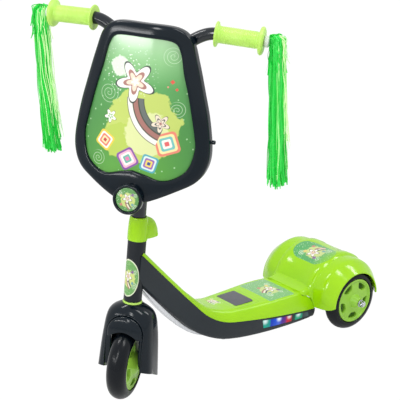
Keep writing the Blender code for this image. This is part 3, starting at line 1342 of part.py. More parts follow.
def front_axle(steering):
    """Axle rod in blind seats of the legs, and a spacer at each end of the hub."""
    at = Matrix.Translation((0, -FRONT_LEAD, FRONT_AXLE_Z))
    reach = FORK_SLOT_HALF + AXLE_SEAT
    rod = [(-reach, 0), (-reach, AXLE_R - 0.0008), (-reach + 0.0008, AXLE_R)]
    rod += [(reach - 0.0008, AXLE_R), (reach, AXLE_R - 0.0008), (reach, 0)]
    place(solid("front_axle", turned(rod, 16)), STEEL, steering, at, roughness=0.3, metallic=1.0)
    low = FRONT_BOSS_REACH + RUN
    ring = tube_profile(low, FORK_SLOT_HALF - FIT, AXLE_R + FIT, WASHER_R)
    for side, word in ((1, "left"), (-1, "right")):
        flip = at @ (Matrix() if side > 0 else Matrix.Rotation(pi, 4, "Z"))
        obj = solid("front_spacer_" + word, turned(ring, 16))
        place(obj, STEEL, steering, flip, roughness=0.3, metallic=1.0)


def clear_scene():
    for obj in list(bpy.data.objects):
        bpy.data.objects.remove(obj)


def build():
    clear_scene()
    deck_cover()
    lower_shell_and_inserts()
    frame_tube()
    neck_strip()
    head_pieces()
    rear_axle_pieces()
    rear_housing()
    rear_wheels()
    foot_switch()
    inside_deck()
    steering = pivot("steering_pivot", STEER)
    handlebar(steering)
    grips(steering)
    shield(steering)
    fork(steering)
    mudguard(steering)
    front_axle(steering)
    front_wheel(steering)


build()
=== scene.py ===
"""Looks for the three-wheel kids' kick scooter, built round the packed CAD frame.

Laid out as an add-on: sizes and colours in property groups, one operator for
each group of like pieces, one for the stage, and one panel that lists them.
Lengths are in metres, in the frame of the CAD. The scooter rides towards -Y.
"""
import json
import random
from functools import partialmethod
from math import atan2, cos, pi, radians, sin, sqrt

import bmesh
import bpy
from bpy.props import FloatProperty, FloatVectorProperty, IntProperty, PointerProperty, StringProperty
from mathutils import Matrix, Quaternion, Vector
from mathutils.bvhtree import BVHTree
from mathutils.geometry import convex_hull_2d, intersect_line_line_2d


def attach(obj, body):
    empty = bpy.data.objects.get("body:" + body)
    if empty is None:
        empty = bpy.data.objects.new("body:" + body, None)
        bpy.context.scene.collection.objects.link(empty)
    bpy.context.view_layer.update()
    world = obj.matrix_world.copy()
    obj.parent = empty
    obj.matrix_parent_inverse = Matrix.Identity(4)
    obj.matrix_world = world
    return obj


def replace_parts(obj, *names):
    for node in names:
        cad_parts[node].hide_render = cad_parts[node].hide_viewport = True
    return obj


bl_info = {
    "name": "Three-wheel kick scooter",
    "version": (1, 0, 0),
    "blender": (4, 5, 0),
    "location": "View3D > Sidebar > Scooter",
    "description": "Dresses the packed scooter: mouldings, wheels, grips, streamers, shield and lit deck",
    "category": "Object",
}

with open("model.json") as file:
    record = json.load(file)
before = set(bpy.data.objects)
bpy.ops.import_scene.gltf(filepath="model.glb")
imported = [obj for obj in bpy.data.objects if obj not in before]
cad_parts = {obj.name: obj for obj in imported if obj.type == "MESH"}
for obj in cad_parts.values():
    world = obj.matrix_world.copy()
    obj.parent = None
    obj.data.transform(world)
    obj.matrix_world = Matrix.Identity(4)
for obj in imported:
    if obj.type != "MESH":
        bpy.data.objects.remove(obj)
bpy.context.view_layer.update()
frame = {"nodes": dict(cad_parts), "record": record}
RECORD = frame["record"]
BODY_OF = {node: body for body, nodes in RECORD["behaviour"]["bodies"].items() for node in nodes}
SLOT_OF = {part["node"]: part["material_slot"] for part in RECORD["subparts"]}

# Frames of reference, as in the part's source
HEAD_FOOT_Y = -0.229
RAKE = radians(6.97)
PARKED_TURN = radians(33.24)
HEAD = Matrix.Translation((0, HEAD_FOOT_Y, 0)) @ Matrix.Rotation(-RAKE, 4, "X")
STEER = HEAD @ Matrix.Rotation(PARKED_TURN, 4, "Z")
AXLE_HEIGHT = 0.060392
AXLE_IN_FORK = Matrix.Translation((0, -0.0104, AXLE_HEIGHT))
FRONT_AXLE = STEER @ AXLE_IN_FORK
UPRIGHT = Matrix.Rotation(-pi / 2, 4, "Y")
MM = 0.001

SIDES = ((1, "left"), (-1, "right"))
GRIP_X = 0.0957  # from the middle to the inner flange
SHIELD_LEAN = 0.043  # how far the shield leans back for its height
BARREL_R = 0.0747  # of the housing's barrel over the rear axle


def hexed(code):
    """Linear colour from an sRGB hex code."""
    parts = [int(code[i:i + 2], 16) / 255 for i in (1, 3, 5)]
    linear = [p / 12.92 if p <= 0.04045 else ((p + 0.055) / 1.055) ** 2.4 for p in parts]
    return (*linear, 1.0)


def cad_mesh(node):
    """Mesh of a CAD node, to be read and never changed."""
    return frame["nodes"][node].data


# Selecting and finishing


def only(piece):
    """Select one object and make it the active one."""
    bpy.ops.object.select_all(action="DESELECT")
    piece.select_set(True)
    bpy.context.view_layer.objects.active = piece


def edit(piece):
    """Edit mode on one object, with all of it selected."""
    only(piece)
    bpy.ops.object.mode_set(mode="EDIT")
    bpy.ops.mesh.select_all(action="SELECT")


def leave():
    """Back to object mode."""
    bpy.ops.object.mode_set(mode="OBJECT")


def settle(piece, matrix):
    """Move a piece's place into its mesh, so that the object sits at the origin."""
    only(piece)
    piece.matrix_world = matrix @ piece.matrix_world
    bpy.ops.object.transform_apply(location=True, rotation=True, scale=True)
    return piece


def apply_step(piece, kind, **values):
    """Add a modifier with its values and apply it."""
    only(piece)
    step = piece.modifiers.new(kind.lower(), kind)
    for name, value in values.items():
        setattr(step, name, value)
    bpy.ops.object.modifier_apply(modifier=step.name)
    return piece


def soften(piece, width, angle=32, segments=2):
    """Round the sharp edges of a moulding and shade it smooth."""
    if width:
        apply_step(piece, "BEVEL", width=width, segments=segments, limit_method="ANGLE",
                   angle_limit=radians(angle), use_clamp_overlap=True, harden_normals=False)
    only(piece)
    bpy.ops.object.shade_smooth_by_angle(angle=radians(angle))
    return piece


def tidy_normals(piece):
    """Merge the doubled points of a closed piece and turn its faces outwards."""
    edit(piece)
    bpy.ops.mesh.remove_doubles(threshold=1e-6)
    bpy.ops.mesh.normals_make_consistent(inside=False)
    leave()
    return piece


def copied(node):
    """Merged copy of a CAD node, with its flat faces joined up."""
    piece = bpy.data.objects.new(node + "_finished", cad_mesh(node).copy())
    bpy.context.scene.collection.objects.link(piece)
    piece.data.materials.clear()
    only(piece)
    bpy.ops.mesh.customdata_custom_splitnormals_clear()
    edit(piece)
    bpy.ops.mesh.remove_doubles(threshold=2e-6)
    bpy.ops.mesh.dissolve_limited(angle_limit=radians(0.3))
    leave()
    return piece


def add_to(piece, node, finish=None):
    """Give a piece its finish, and the body and slot of a CAD node."""
    piece.data.materials.clear()
    piece.data.materials.append(finish or finish_for(SLOT_OF[node]))
    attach(piece, BODY_OF[node])
    return piece


def hang(piece, node, finish=None):
    """Do the same for a piece that stands in place of the CAD node."""
    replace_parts(add_to(piece, node, finish), node)
    return piece


def line_of(name, points):
    """Open line of points, drawn by extruding one vertex."""
    bpy.ops.object.select_all(action="DESELECT")
    bpy.ops.mesh.primitive_plane_add(size=MM, location=(0, 0, 0))
    piece = bpy.context.object
    piece.name = name
    bpy.ops.object.mode_set(mode="EDIT")
    bpy.ops.mesh.select_all(action="SELECT")
    bpy.ops.mesh.merge(type="CENTER")
    bpy.ops.mesh.select_mode(type="VERT")
    bpy.ops.mesh.select_all(action="SELECT")
    bpy.ops.transform.translate(value=points[0])
    for before, here in zip(points, points[1:]):
        step = [b - a for a, b in zip(before, here)]
        bpy.ops.mesh.extrude_region_move(TRANSFORM_OT_translate={"value": step})
    return piece


def turned(name, profile, steps):
    """Piece turned about X from (x, radius) points; an outline that stands off the axis is closed first."""
    piece = line_of(name, [(x, 0.0, r) for x, r in profile])
    if min(profile[0][1], profile[-1][1]) > 1e-6:
        bpy.ops.mesh.select_all(action="DESELECT")
        bm = bmesh.from_edit_mesh(piece.data)
        for v in bm.verts:
            v.select = len(v.link_edges) == 1
        bmesh.update_edit_mesh(piece.data)
        bpy.ops.mesh.edge_face_add()
    bpy.ops.mesh.select_all(action="SELECT")
    bpy.ops.mesh.spin(steps=steps, angle=2 * pi, center=(0, 0, 0), axis=(1, 0, 0))
    leave()
    return tidy_normals(piece)


def ringed(name, loops, wrap=False):
    """Piece drawn out from one closed loop of points to the next by extruding."""
    count = len(loops[0])
    bpy.ops.object.select_all(action="DESELECT")
    bpy.ops.mesh.primitive_circle_add(vertices=count, radius=1.0, fill_type="NOTHING", location=(0, 0, 0))
    piece = bpy.context.object
    piece.name = name
    bpy.ops.object.mode_set(mode="EDIT")
    bpy.ops.mesh.select_mode(type="VERT")
    bpy.ops.mesh.select_all(action="SELECT")
    bm = bmesh.from_edit_mesh(piece.data)
    spot = bm.verts.layers.int.new("spot")
    bm.verts.ensure_lookup_table()
    for i in range(count):
        bm.verts[i][spot] = i
        bm.verts[i].co = loops[0][i]
    bmesh.update_edit_mesh(piece.data)
    for there in loops[1:] + ([loops[0]] if wrap else []):
        bpy.ops.mesh.extrude_edges_move()
        bm = bmesh.from_edit_mesh(piece.data)
        spot = bm.verts.layers.int["spot"]
        for v in bm.verts:
            if v.select:
                v.co = there[v[spot]]
        bmesh.update_edit_mesh(piece.data)
    if not wrap:
        bpy.ops.mesh.edge_face_add()
        bm = bmesh.from_edit_mesh(piece.data)
        bpy.ops.mesh.select_all(action="DESELECT")
        for e in bm.edges:
            if len(e.link_faces) == 1:
                e.select = True
        bmesh.update_edit_mesh(piece.data)
        bpy.ops.mesh.edge_face_add()
    leave()
    piece.data.attributes.remove(piece.data.attributes["spot"])
    return tidy_normals(piece)


def cut(piece, tool, operation="DIFFERENCE", solver="MANIFOLD"):
    """Cut, join or cross a piece with a tool, and drop the tool."""
    apply_step(piece, "BOOLEAN", operation=operation, object=tool, solver=solver)
    bpy.data.objects.remove(tool)
    return piece


def rod(low, high, radius, steps, where):
    """Round cutter along X from low to high."""
    return settle(turned("tool", [(low, 0.0), (low, radius), (high, radius), (high, 0.0)], steps), where)


def slab(outline, reach):
    """Cutter that carries a (y, z) outline across the scooter, as far on both sides."""
    return ringed("tool", [[(x, y, z) for y, z in outline] for x in (-reach, reach)])


# Finishes


def add(tree, kind, feeds=None, **settings):
    """Add a shader node with its settings, and link or set what feeds it."""
    made = tree.nodes.new("ShaderNode" + kind)
    for name, value in settings.items():
        setattr(made, name, value)
    for key, value in (feeds or {}).items():
        if isinstance(value, Number):
            value = value.socket
        if isinstance(value, bpy.types.NodeSocket):
            tree.links.new(value, made.inputs[key])
        else:
            made.inputs[key].default_value = value
    return made


class Number:
    """A number that shader nodes work out, so that a pattern is written as a formula."""

    def __init__(self, socket):
        self.socket = socket

    def math(self, operation, *others):
        """What an operation makes of this number and up to two others."""
        feeds = dict(enumerate((self, *others)))
        return Number(add(self.socket.id_data, "Math", feeds, operation=operation).outputs[0])

    def fade(self, low, high, start=0.0, end=1.0, **settings):
        """Run from start to end while this number goes from low to high."""
        feeds = {"Value": self, "From Min": low, "From Max": high, "To Min": start, "To Max": end}
        return Number(add(self.socket.id_data, "MapRange", feeds, **settings).outputs[0])

    def under(self, edge, soft):
        """Mask of where this number lies below an edge."""
        return self.fade(edge - soft, edge + soft, 1.0, 0.0)

    __add__ = partialmethod(math, "ADD")
    __sub__ = partialmethod(math, "SUBTRACT")
    __mul__ = partialmethod(math, "MULTIPLY")
    __truediv__ = partialmethod(math, "DIVIDE")
    __pow__ = partialmethod(math, "POWER")
    __gt__ = partialmethod(math, "GREATER_THAN")
    __abs__ = partialmethod(math, "ABSOLUTE")
    root = partialmethod(math, "SQRT")
    sine = partialmethod(math, "SINE")
    cosine = partialmethod(math, "COSINE")


def mixed(tree, share, one, two):
    """Blend of two colours by a share."""
    return add(tree, "Mix", {0: share, 6: one, 7: two}, data_type="RGBA").outputs[2]


def layered(tree, colour, layers):
    """Paints laid over a colour one after the other, each as (mask, hex code)."""
    for mask, code in layers:
        colour = mixed(tree, mask, colour, hexed(code))
    return colour


def shades(tree, value, stops):
    """Colour that runs through stops of (place, colour) as a value rises."""
    made = add(tree, "ValToRGB", {"Fac": value})
    band = made.color_ramp
    band.elements[0].position, band.elements[0].color = stops[0]
    band.elements[1].position, band.elements[1].color = stops[-1]
    for place, colour in stops[1:-1]:
        band.elements.new(place).color = colour
    return made.outputs["Color"]


def place_in(tree, matrix=Matrix()):
    """Place on the piece in millimetres, in a frame of its own."""
    at = add(tree, "TexCoord").outputs["Object"]
    made = add(tree, "Mapping", {
        "Vector": at, "Location": matrix.translation, "Rotation": matrix.to_euler(), "Scale": (MM, MM, MM),
    }, vector_type="TEXTURE")
    return made.outputs["Vector"]


def split(tree, vector):
    """The three numbers of a vector."""
    return [Number(output) for output in add(tree, "SeparateXYZ", {0: vector}).outputs]


def reach_along(tree, vector, way):
    """How far a vector goes in a direction of the steered front end."""
    feeds = {0: vector, 1: STEER.to_3x3() @ Vector(way)}
    return Number(add(tree, "VectorMath", feeds, operation="DOT_PRODUCT").outputs["Value"])


def surface(name, **values):
    """Material with its tree and shader, and the shader's own numbers set."""
    material = bpy.data.materials.new(name)
    material.use_nodes = True
    tree = material.node_tree
    shader = tree.nodes["Principled BSDF"]
    for key, value in values.items():
        shader.inputs[key.replace("_", " ")].default_value = value
    return material, tree, shader


def grained(tree, shader, at, grain, depth, rough=None, spread=0.0):
    """Fine bump of a grain size in millimetres, and the same grain in the gloss."""
    speck = Number(add(tree, "TexNoise", {"Vector": at, "Scale": 1.0 / grain, "Detail": 3.0}).outputs["Fac"])
    bump = add(tree, "Bump", {"Height": speck, "Distance": depth * MM, "Strength": 0.6})
    tree.links.new(bump.outputs["Normal"], shader.inputs["Normal"])
    if rough is not None:
        band = speck.fade(0.0, 1.0, rough - spread, rough + spread)
        tree.links.new(band.socket, shader.inputs["Roughness"])
    return bump


def cloudy(tree, at, one, two, size=35.0):
    """Slow drift between two near colours, as in a moulding's melt."""
    drift = add(tree, "TexNoise", {"Vector": at, "Scale": 1.0 / size, "Detail": 2.0}).outputs["Fac"]
    return mixed(tree, drift, one, two)


def inside_box(x, y, centre, half, corner, soft=0.35):
    """Mask of a rectangle with round corners, and the distance from its edge."""
    across, up = ((abs(value - middle) - (size - corner)).math("MAXIMUM", 0.0)
                  for value, middle, size in zip((x, y), centre, half))
    away = (across ** 2.0 + up ** 2.0).root() - corner
    return away.under(0.0, soft), away


def polar(u, v, centre):
    """Distance and angle from a point of a print."""
    dx, dy = u - centre[0], v - centre[1]
    return (dx * dx + dy * dy).root(), dy.math("ARCTAN2", dx)


def star_mask(x, y, centre, radius, depth, turn, soft):
    """Mask of a rounded star with five points."""
    away, angle = polar(x, y, centre)
    wave = angle.math("MULTIPLY_ADD", 5.0, turn).cosine()
    edge = wave.math("MULTIPLY_ADD", radius * depth, radius * (1 - depth))
    return (away - edge).under(0.0, soft)


def slanted(x, y, centre, half, turn, soft, corner):
    """Mask of a square block turned by an angle."""
    dx, dy = x - centre[0], y - centre[1]
    c, s = cos(turn), sin(turn)
    return inside_box(dx * c + dy * s, dy * c - dx * s, (0.0, 0.0), (half, half), corner, soft)[0]


def speckled(tree, at, colour, spot, size, fill):
    """Scatter of small round spots over a colour."""
    cell = Number(add(tree, "TexVoronoi", {"Vector": at, "Scale": 1.0 / size}).outputs["Distance"])
    return mixed(tree, cell.fade(fill, fill * 1.35, 1.0, 0.0), colour, spot)


def splash(tree, at, u, v, centre, radius, soft, depth=0.5):
    """Mask of a round splash of paint with an uneven edge."""
    feeds = {"Vector": at, "Scale": 1.0 / (radius * 0.35), "Detail": 4.0}
    noise = Number(add(tree, "TexNoise", feeds).outputs["Fac"])
    away, _ = polar(u, v, centre)
    return (noise - 0.5).math("MULTIPLY_ADD", radius * depth, away).under(radius, soft)


def arc_band(u, v, centre, radius, half, middle, reach, soft):
    """Mask of a curved stripe: part of a ring about a far centre."""
    away, angle = polar(u, v, centre)
    return abs(away - radius).under(half, soft) * ((angle - middle).cosine() > cos(reach))


def curl(u, v, centre, reach, pitch, thick, turn, soft=0.25):
    """Mask of a thin spiral line."""
    away, angle = polar(u, v, centre)
    wrap = (away / pitch - angle / (2 * pi) + turn).math("FRACT") - 0.5
    return (abs(wrap) * pitch).under(thick, soft) * away.under(reach, soft)


def badge_art(tree, at, u, v, size, field, middle):
    """Made-up label print: a comet star on a paint splash, with curls, spots and small blocks."""
    colour = speckled(tree, at, field, hexed("#cfe8c0"), size * 0.13, 0.17)
    colour = layered(tree, colour, [
        (curl(u, v, (x * size, y * size), reach * size, size * 0.11, size * 0.018, x, size * 0.012), "#e4f2d8")
        for x, y, reach in ((-0.70, 0.52, 0.24), (0.74, -0.56, 0.26), (0.72, 0.50, 0.18))])
    mark = splash(tree, at, u, v, (0.08 * size, -0.04 * size), size * 0.64, size * 0.03)
    colour = mixed(tree, mark, colour, hexed(middle))
    blocks = ((-0.50, -0.44, 0.5, "#c98376"), (0.50, -0.34, -0.4, "#78a9a4"), (0.44, 0.50, 0.9, "#8d6f97"),
              (-0.56, 0.30, 0.2, "#e6cf7c"))
    stripes = ((0.86, "#4b514c"), (0.98, "#f3ead6"), (1.10, "#a8756c"))
    stars = ((0.46, "#3c4440"), (0.40, "#f8f5ec"), (0.20, "#b07a70"), (0.10, "#f2dfae"))
    return layered(tree, colour, [
        (slanted(u, v, (x * size, y * size), size * 0.11, turn, size * 0.02, size * 0.03), code)
        for x, y, turn, code in blocks
    ] + [
        (arc_band(u, v, (0.95 * size, 0.05 * size), radius * size, size * 0.055, pi * 1.17, 0.34, size * 0.02), code)
        for radius, code in stripes
    ] + [
        (star_mask(u, v, (0.02 * size, 0.14 * size), size * share, 0.30, pi / 2, size * 0.02), code)
        for share, code in stars
    ])


class ScooterColours(bpy.types.PropertyGroup):
    """Colours of the scooter's finishes, as sRGB hex codes."""

    lime: StringProperty(name="Lime", description="Moulded lime plastic", default="#a3dc0c")
    lime_deep: StringProperty(name="Deep lime", description="Slow drift in the lime", default="#96d009")
    wheel: StringProperty(name="Hub", description="Wheel hubs", default="#98cf46")
    grip: StringProperty(name="Grip", description="Soft lime grips", default="#c2ec70")
    black: StringProperty(name="Black", description="Glossy black mouldings and paint", default="#08131b")
    slate: StringProperty(name="Slate", description="Lower shell of the deck", default="#1b2227")
    rubber: StringProperty(name="Rubber", description="Wheel tyres", default="#060b11")
    pad: StringProperty(name="Pad", description="Foot switch", default="#5e5f65")
    ribbon: StringProperty(name="Ribbon", description="Streamers", default="#1fc53f")
    ribbon_pale: StringProperty(name="Pale ribbon", description="Lightest streamers", default="#bdf3a8")
    field: StringProperty(name="Print", description="Green of the printed panel", default="#57974f")
    blob: StringProperty(name="Print middle", description="Yellow green in the print", default="#c3d46e")


class ScooterWheels(bpy.types.PropertyGroup):
    """Sizes of the three wheels."""

    front_radius: FloatProperty(name="Front radius", description="Front tyre", default=0.0611, subtype="DISTANCE")
    front_half: FloatProperty(name="Front half width", description="Front tyre", default=0.0165, subtype="DISTANCE")
    front_rim: FloatProperty(name="Front rim", description="Rim radius", default=0.0437, subtype="DISTANCE")
    rear_radius: FloatProperty(name="Rear radius", description="Rear tyres", default=0.0561, subtype="DISTANCE")
    rear_half: FloatProperty(name="Rear half width", description="Rear tyres", default=0.0140, subtype="DISTANCE")
    rear_rim: FloatProperty(name="Rear rim", description="Rim radius", default=0.0403, subtype="DISTANCE")
    axle_y: FloatProperty(name="Rear axle", description="Place along the scooter", default=0.2198, subtype="DISTANCE")
    track_half: FloatProperty(name="Half track", description="Middle to wheel", default=0.0763, subtype="DISTANCE")
    openings: IntProperty(name="Openings", description="Openings in each hub", default=5, min=3, max=9)


class ScooterStreamers(bpy.types.PropertyGroup):
    """The two bundles of ribbons."""

    ribbons: IntProperty(name="Ribbons", description="Ribbons in each bundle", default=340, min=10, max=400)
    length: FloatProperty(name="Length", description="From the knot to the tips", default=0.227, subtype="DISTANCE")
    width: FloatProperty(name="Width", description="Width of one ribbon", default=0.0024, subtype="DISTANCE")
    seed: IntProperty(name="Seed", description="Order of the ribbons", default=11)


class ScooterStage(bpy.types.PropertyGroup):
    """Camera and light of the studio."""

    eye: FloatVectorProperty(name="Camera", description="Place of the camera", default=(1.4462, -1.2934, 1.0532),
                             subtype="TRANSLATION")
    aim: FloatVectorProperty(name="Aim", description="Point looked at", default=(-0.11048, 0.02761, 0.24032),
                             subtype="TRANSLATION")
    roll: FloatProperty(name="Roll", description="Turn of the picture", default=radians(-0.30), subtype="ANGLE")
    lens: FloatProperty(name="Lens", description="Focal length in mm on a 36 mm sensor", default=112.59)
    glow: FloatProperty(name="Room light", description="Strength of the soft room", default=0.55)


GROUPS = {
    "scooter_colours": ScooterColours, "scooter_wheels": ScooterWheels,
    "scooter_streamers": ScooterStreamers, "scooter_stage": ScooterStage,
}


def tint(name):
    """Linear colour of a named finish."""
    return hexed(getattr(bpy.context.scene.scooter_colours, name))


# Finishes by what they are


def plain(name, tones, grain, drift=35.0, marks=None, **values):
    """Finish of two near tones that drift into each other, with a fine grain and any marks on it."""
    material, tree, shader = surface(name, **values)
    at = place_in(tree)
    colour = cloudy(tree, at, *tones, drift)
    if marks:
        colour = marks(tree, at, colour)
    tree.links.new(colour, shader.inputs["Base Color"])
    grained(tree, shader, at, *grain)
    return material


def lime_abs(name="gloss_lime_abs", marks=None, rough=0.14):
    """ABS from a polished tool: clear highlights over a faint drift in the melt."""
    return plain(name, (tint("lime"), tint("lime_deep")), (1.6, 0.003, rough, 0.02), marks=marks,
                 IOR=1.53, Roughness=rough, Specular_IOR_Level=0.34)


def wheel_pp(name, where=None):
    """Lime polypropylene of the hubs: paler than the body, with painted shade that darkens it down in the deep
    openings.
    """
    material, tree, shader = surface(name, IOR=1.5, Roughness=0.3, Specular_IOR_Level=0.34)
    at = place_in(tree)
    off = abs(split(tree, place_in(tree, where) if where else at)[0])
    if not where:
        off = off - bpy.context.scene.scooter_wheels.track_half * 1000
    # painted shade: the hub's colour runs towards dark green #1a4a12 with depth in the openings
    deep = off.fade(3.0, 10.5, 0.9, 0.0)
    if not where:
        deep = deep * (off > 1.2)
    colour = mixed(tree, deep, cloudy(tree, at, tint("wheel"), hexed("#93c73c")), hexed("#1a4a12"))
    tree.links.new(colour, shader.inputs["Base Color"])
    grained(tree, shader, at, 1.6, 0.004, 0.3, 0.04)
    return material


def soft_grip():
    """Thermoplastic rubber: satin, with fine moulded rings 2.4 mm apart."""
    material, tree, shader = surface("soft_lime_tpr", IOR=1.5, Roughness=0.36, Specular_IOR_Level=0.5)
    at = place_in(tree)
    tree.links.new(cloudy(tree, at, tint("grip"), hexed("#b4e45c")), shader.inputs["Base Color"])
    bump = grained(tree, shader, at, 0.9, 0.003, 0.35, 0.04)
    wave = (reach_along(tree, at, (1, 0, 0)) * (2 * pi / 2.4)).sine()
    feeds = {"Height": wave, "Distance": 0.12 * MM, "Strength": 0.7, "Normal": bump.outputs["Normal"]}
    tree.links.new(add(tree, "Bump", feeds).outputs["Normal"], shader.inputs["Normal"])
    return material


def black_moulding():
    """Polypropylene from a polished tool: deep black with narrow highlights."""
    base = tint("black")
    lift = tuple(min(1.0, c * 1.35 + 0.001) for c in base[:3]) + (1.0,)
    return plain("gloss_black_pp", (base, lift), (2.0, 0.004, 0.14, 0.03),
                 IOR=1.5, Roughness=0.12, Specular_IOR_Level=0.24)


def textured_black():
    """Spark-eroded polypropylene: a fine matt texture that lifts the black to slate."""
    return plain("textured_slate_pp", (tint("slate"), hexed("#222a30")), (0.7, 0.05, 0.46, 0.08), 50.0,
                 IOR=1.49, Roughness=0.5, Specular_IOR_Level=0.34)


def black_paint():
    """Gloss powder coat on steel tube: orange peel a few millimetres wide."""
    return plain("gloss_black_powder_coat", (tint("black"), hexed("#0c161e")), (2.5, 0.008, 0.14, 0.03),
                 IOR=1.5, Roughness=0.12, Specular_IOR_Level=0.4, Coat_Weight=0.2, Coat_Roughness=0.05)


def wheel_rubber():
    """Solid polyurethane tyre: dark, slightly hazy, with a trace of dust."""
    return plain("black_pu_tyre", (tint("rubber"), hexed("#0a0f15")), (0.6, 0.008, 0.22, 0.05), 12.0,
                 IOR=1.5, Roughness=0.17, Specular_IOR_Level=0.2)


def zinc_steel(name, rough, code):
    """Zinc plate on steel: pale metal with a cloudy spangle."""
    dim = tuple(c * 0.86 for c in hexed(code)[:3]) + (1.0,)
    return plain(name, (hexed(code), dim), (0.8, 0.008, rough, 0.07), 6.0, Metallic=1.0, Roughness=rough)


def pad_rubber():
    """Rubberised pad: matt grey with a fine pebble."""
    return plain("grey_pad_rubber", (tint("pad"), hexed("#55565c")), (0.9, 0.08, 0.6, 0.08), 9.0,
                 IOR=1.5, Roughness=0.6)


def white_nylon():
    """Nylon plugs and bushes: milky white."""
    return plain("milky_nylon", (hexed("#dfe3de"), hexed("#d3d8d1")), (0.8, 0.01, 0.38, 0.05), 8.0,
                 IOR=1.53, Roughness=0.4)


def circuit_board():
    """Glass-fibre board under green mask, with pale tracks."""
    material, tree, shader = surface("green_circuit_board", IOR=1.5, Roughness=0.35)
    at = place_in(tree)
    feeds = {"Vector": at, "Scale": 0.25, "Distortion": 3.0}
    tracks = Number(add(tree, "TexWave", feeds, bands_direction="X").outputs["Fac"]).fade(0.82, 0.9)
    tree.links.new(mixed(tree, tracks, hexed("#0c5b2c"), hexed("#6f9e52")), shader.inputs["Base Color"])
    grained(tree, shader, at, 1.2, 0.02, 0.35, 0.05)
    return material


def ribbon_film():
    """Thin polypropylene film in narrow ribbons, each with its own green, and a faint glow in that green: painted
    light that stands in for light through the film and lifts the shade between ribbons.
    """
    material, tree, shader = surface("green_film_ribbon", IOR=1.5, Roughness=0.35, Specular_IOR_Level=0.25,
                                     Emission_Strength=0.22)
    at = place_in(tree)
    stops = ((0.0, hexed("#12a932")), (0.35, tint("ribbon")), (0.62, hexed("#3fd455")),
             (0.86, tint("ribbon_pale")), (1.0, hexed("#d9f5b4")))
    colour = shades(tree, add(tree, "Attribute", attribute_name="shade").outputs["Fac"], stops)
    crease = Number(add(tree, "TexNoise", {"Vector": at, "Scale": 0.25, "Detail": 2.0}).outputs["Fac"])
    colour = mixed(tree, crease.fade(0.60, 0.75, 0.0, 0.2), colour, tint("ribbon_pale"))
    # painted light: the ribbon's colour also feeds the emission, so the film glows a little
    for socket in ("Base Color", "Emission Color"):
        tree.links.new(colour, shader.inputs[socket])
    grained(tree, shader, at, 1.5, 0.03, 0.3, 0.1)
    return material


# Labels and prints


def deck_marks(tree, at, colour):
    """Printed labels before and behind the foot switch, and a darker line of painted shade where the moulded groove
    runs round it.
    """
    x, y, _ = split(tree, at)
    labels = (
        ((-9.0, -32.0), (20.0, 17.0), 15.0, (-9.0, -32.0), 15.0, colour, "#dfe3b0"),
        ((2.0, 85.5), (40.0, 30.0), 4.0, (4.0, 88.0), 26.0, hexed("#7db974"), "#c6d58a"),
    )
    for centre, half, corner, middle, size, field, blob in labels:
        art = badge_art(tree, at, x - middle[0], y - middle[1], size, field, blob)
        colour = mixed(tree, inside_box(x, y, centre, half, corner)[0], colour, art)
    # painted shade: a darker green line round the foot switch stands in for the shade down in its groove
    _, away = inside_box(x, y, (0.0, 11.2), (33.0, 28.0), 5.0)
    return mixed(tree, abs(away).fade(0.2, 0.9, 0.35, 0.0), colour, hexed("#4f8a12"))


def barrel_marks(tree, at, colour):
    """Printed label wrapped over the barrel, by its angle round the axle."""
    x, y, z = split(tree, at)
    wheels = bpy.context.scene.scooter_wheels
    radius = BARREL_R * 1000
    up, back = z - wheels.rear_radius * 1000, y - wheels.axle_y * 1000
    arc = up.math("ARCTAN2", back) * radius
    outer = (up ** 2.0 + back ** 2.0).root() > radius - 2.2
    centre = (3.0, radius * radians(103.5))
    label, _ = inside_box(x, arc, centre, (42.0, 27.0), 24.0)
    label = label * outer * x.fade(18.0, 44.0, 1.0, 0.4)
    art = badge_art(tree, at, x - centre[0], arc - centre[1], 28.0, hexed("#5cab66"), "#c9d68c")
    return mixed(tree, label, colour, art)


def tube_label(tree, _, colour):
    """Oval label on the front of the head tube, drawn in the tube's own frame."""
    at = place_in(tree, HEAD)
    x, y, z = split(tree, at)
    u, v = x.math("ARCTAN2", y * -1.0) * 14.8 - 2.0, z - 205.5
    away, _ = polar(u, v * 0.60, (0.0, 0.0))
    art = badge_art(tree, at, u, v * 0.75, 17.0, hexed("#74ab62"), "#cfdc86")
    colour = mixed(tree, away.under(18.8, 0.25), colour, hexed("#e7efcf"))
    return mixed(tree, away.under(17.6, 0.25), colour, art)


def satin_tube():
    """Satin powder coat on the head tube, with its oval label."""
    return plain("satin_black_powder_coat", (hexed("#0d131a"), hexed("#11181f")), (1.2, 0.02, 0.4, 0.06),
                 marks=tube_label, IOR=1.5, Roughness=0.38, Specular_IOR_Level=0.3)


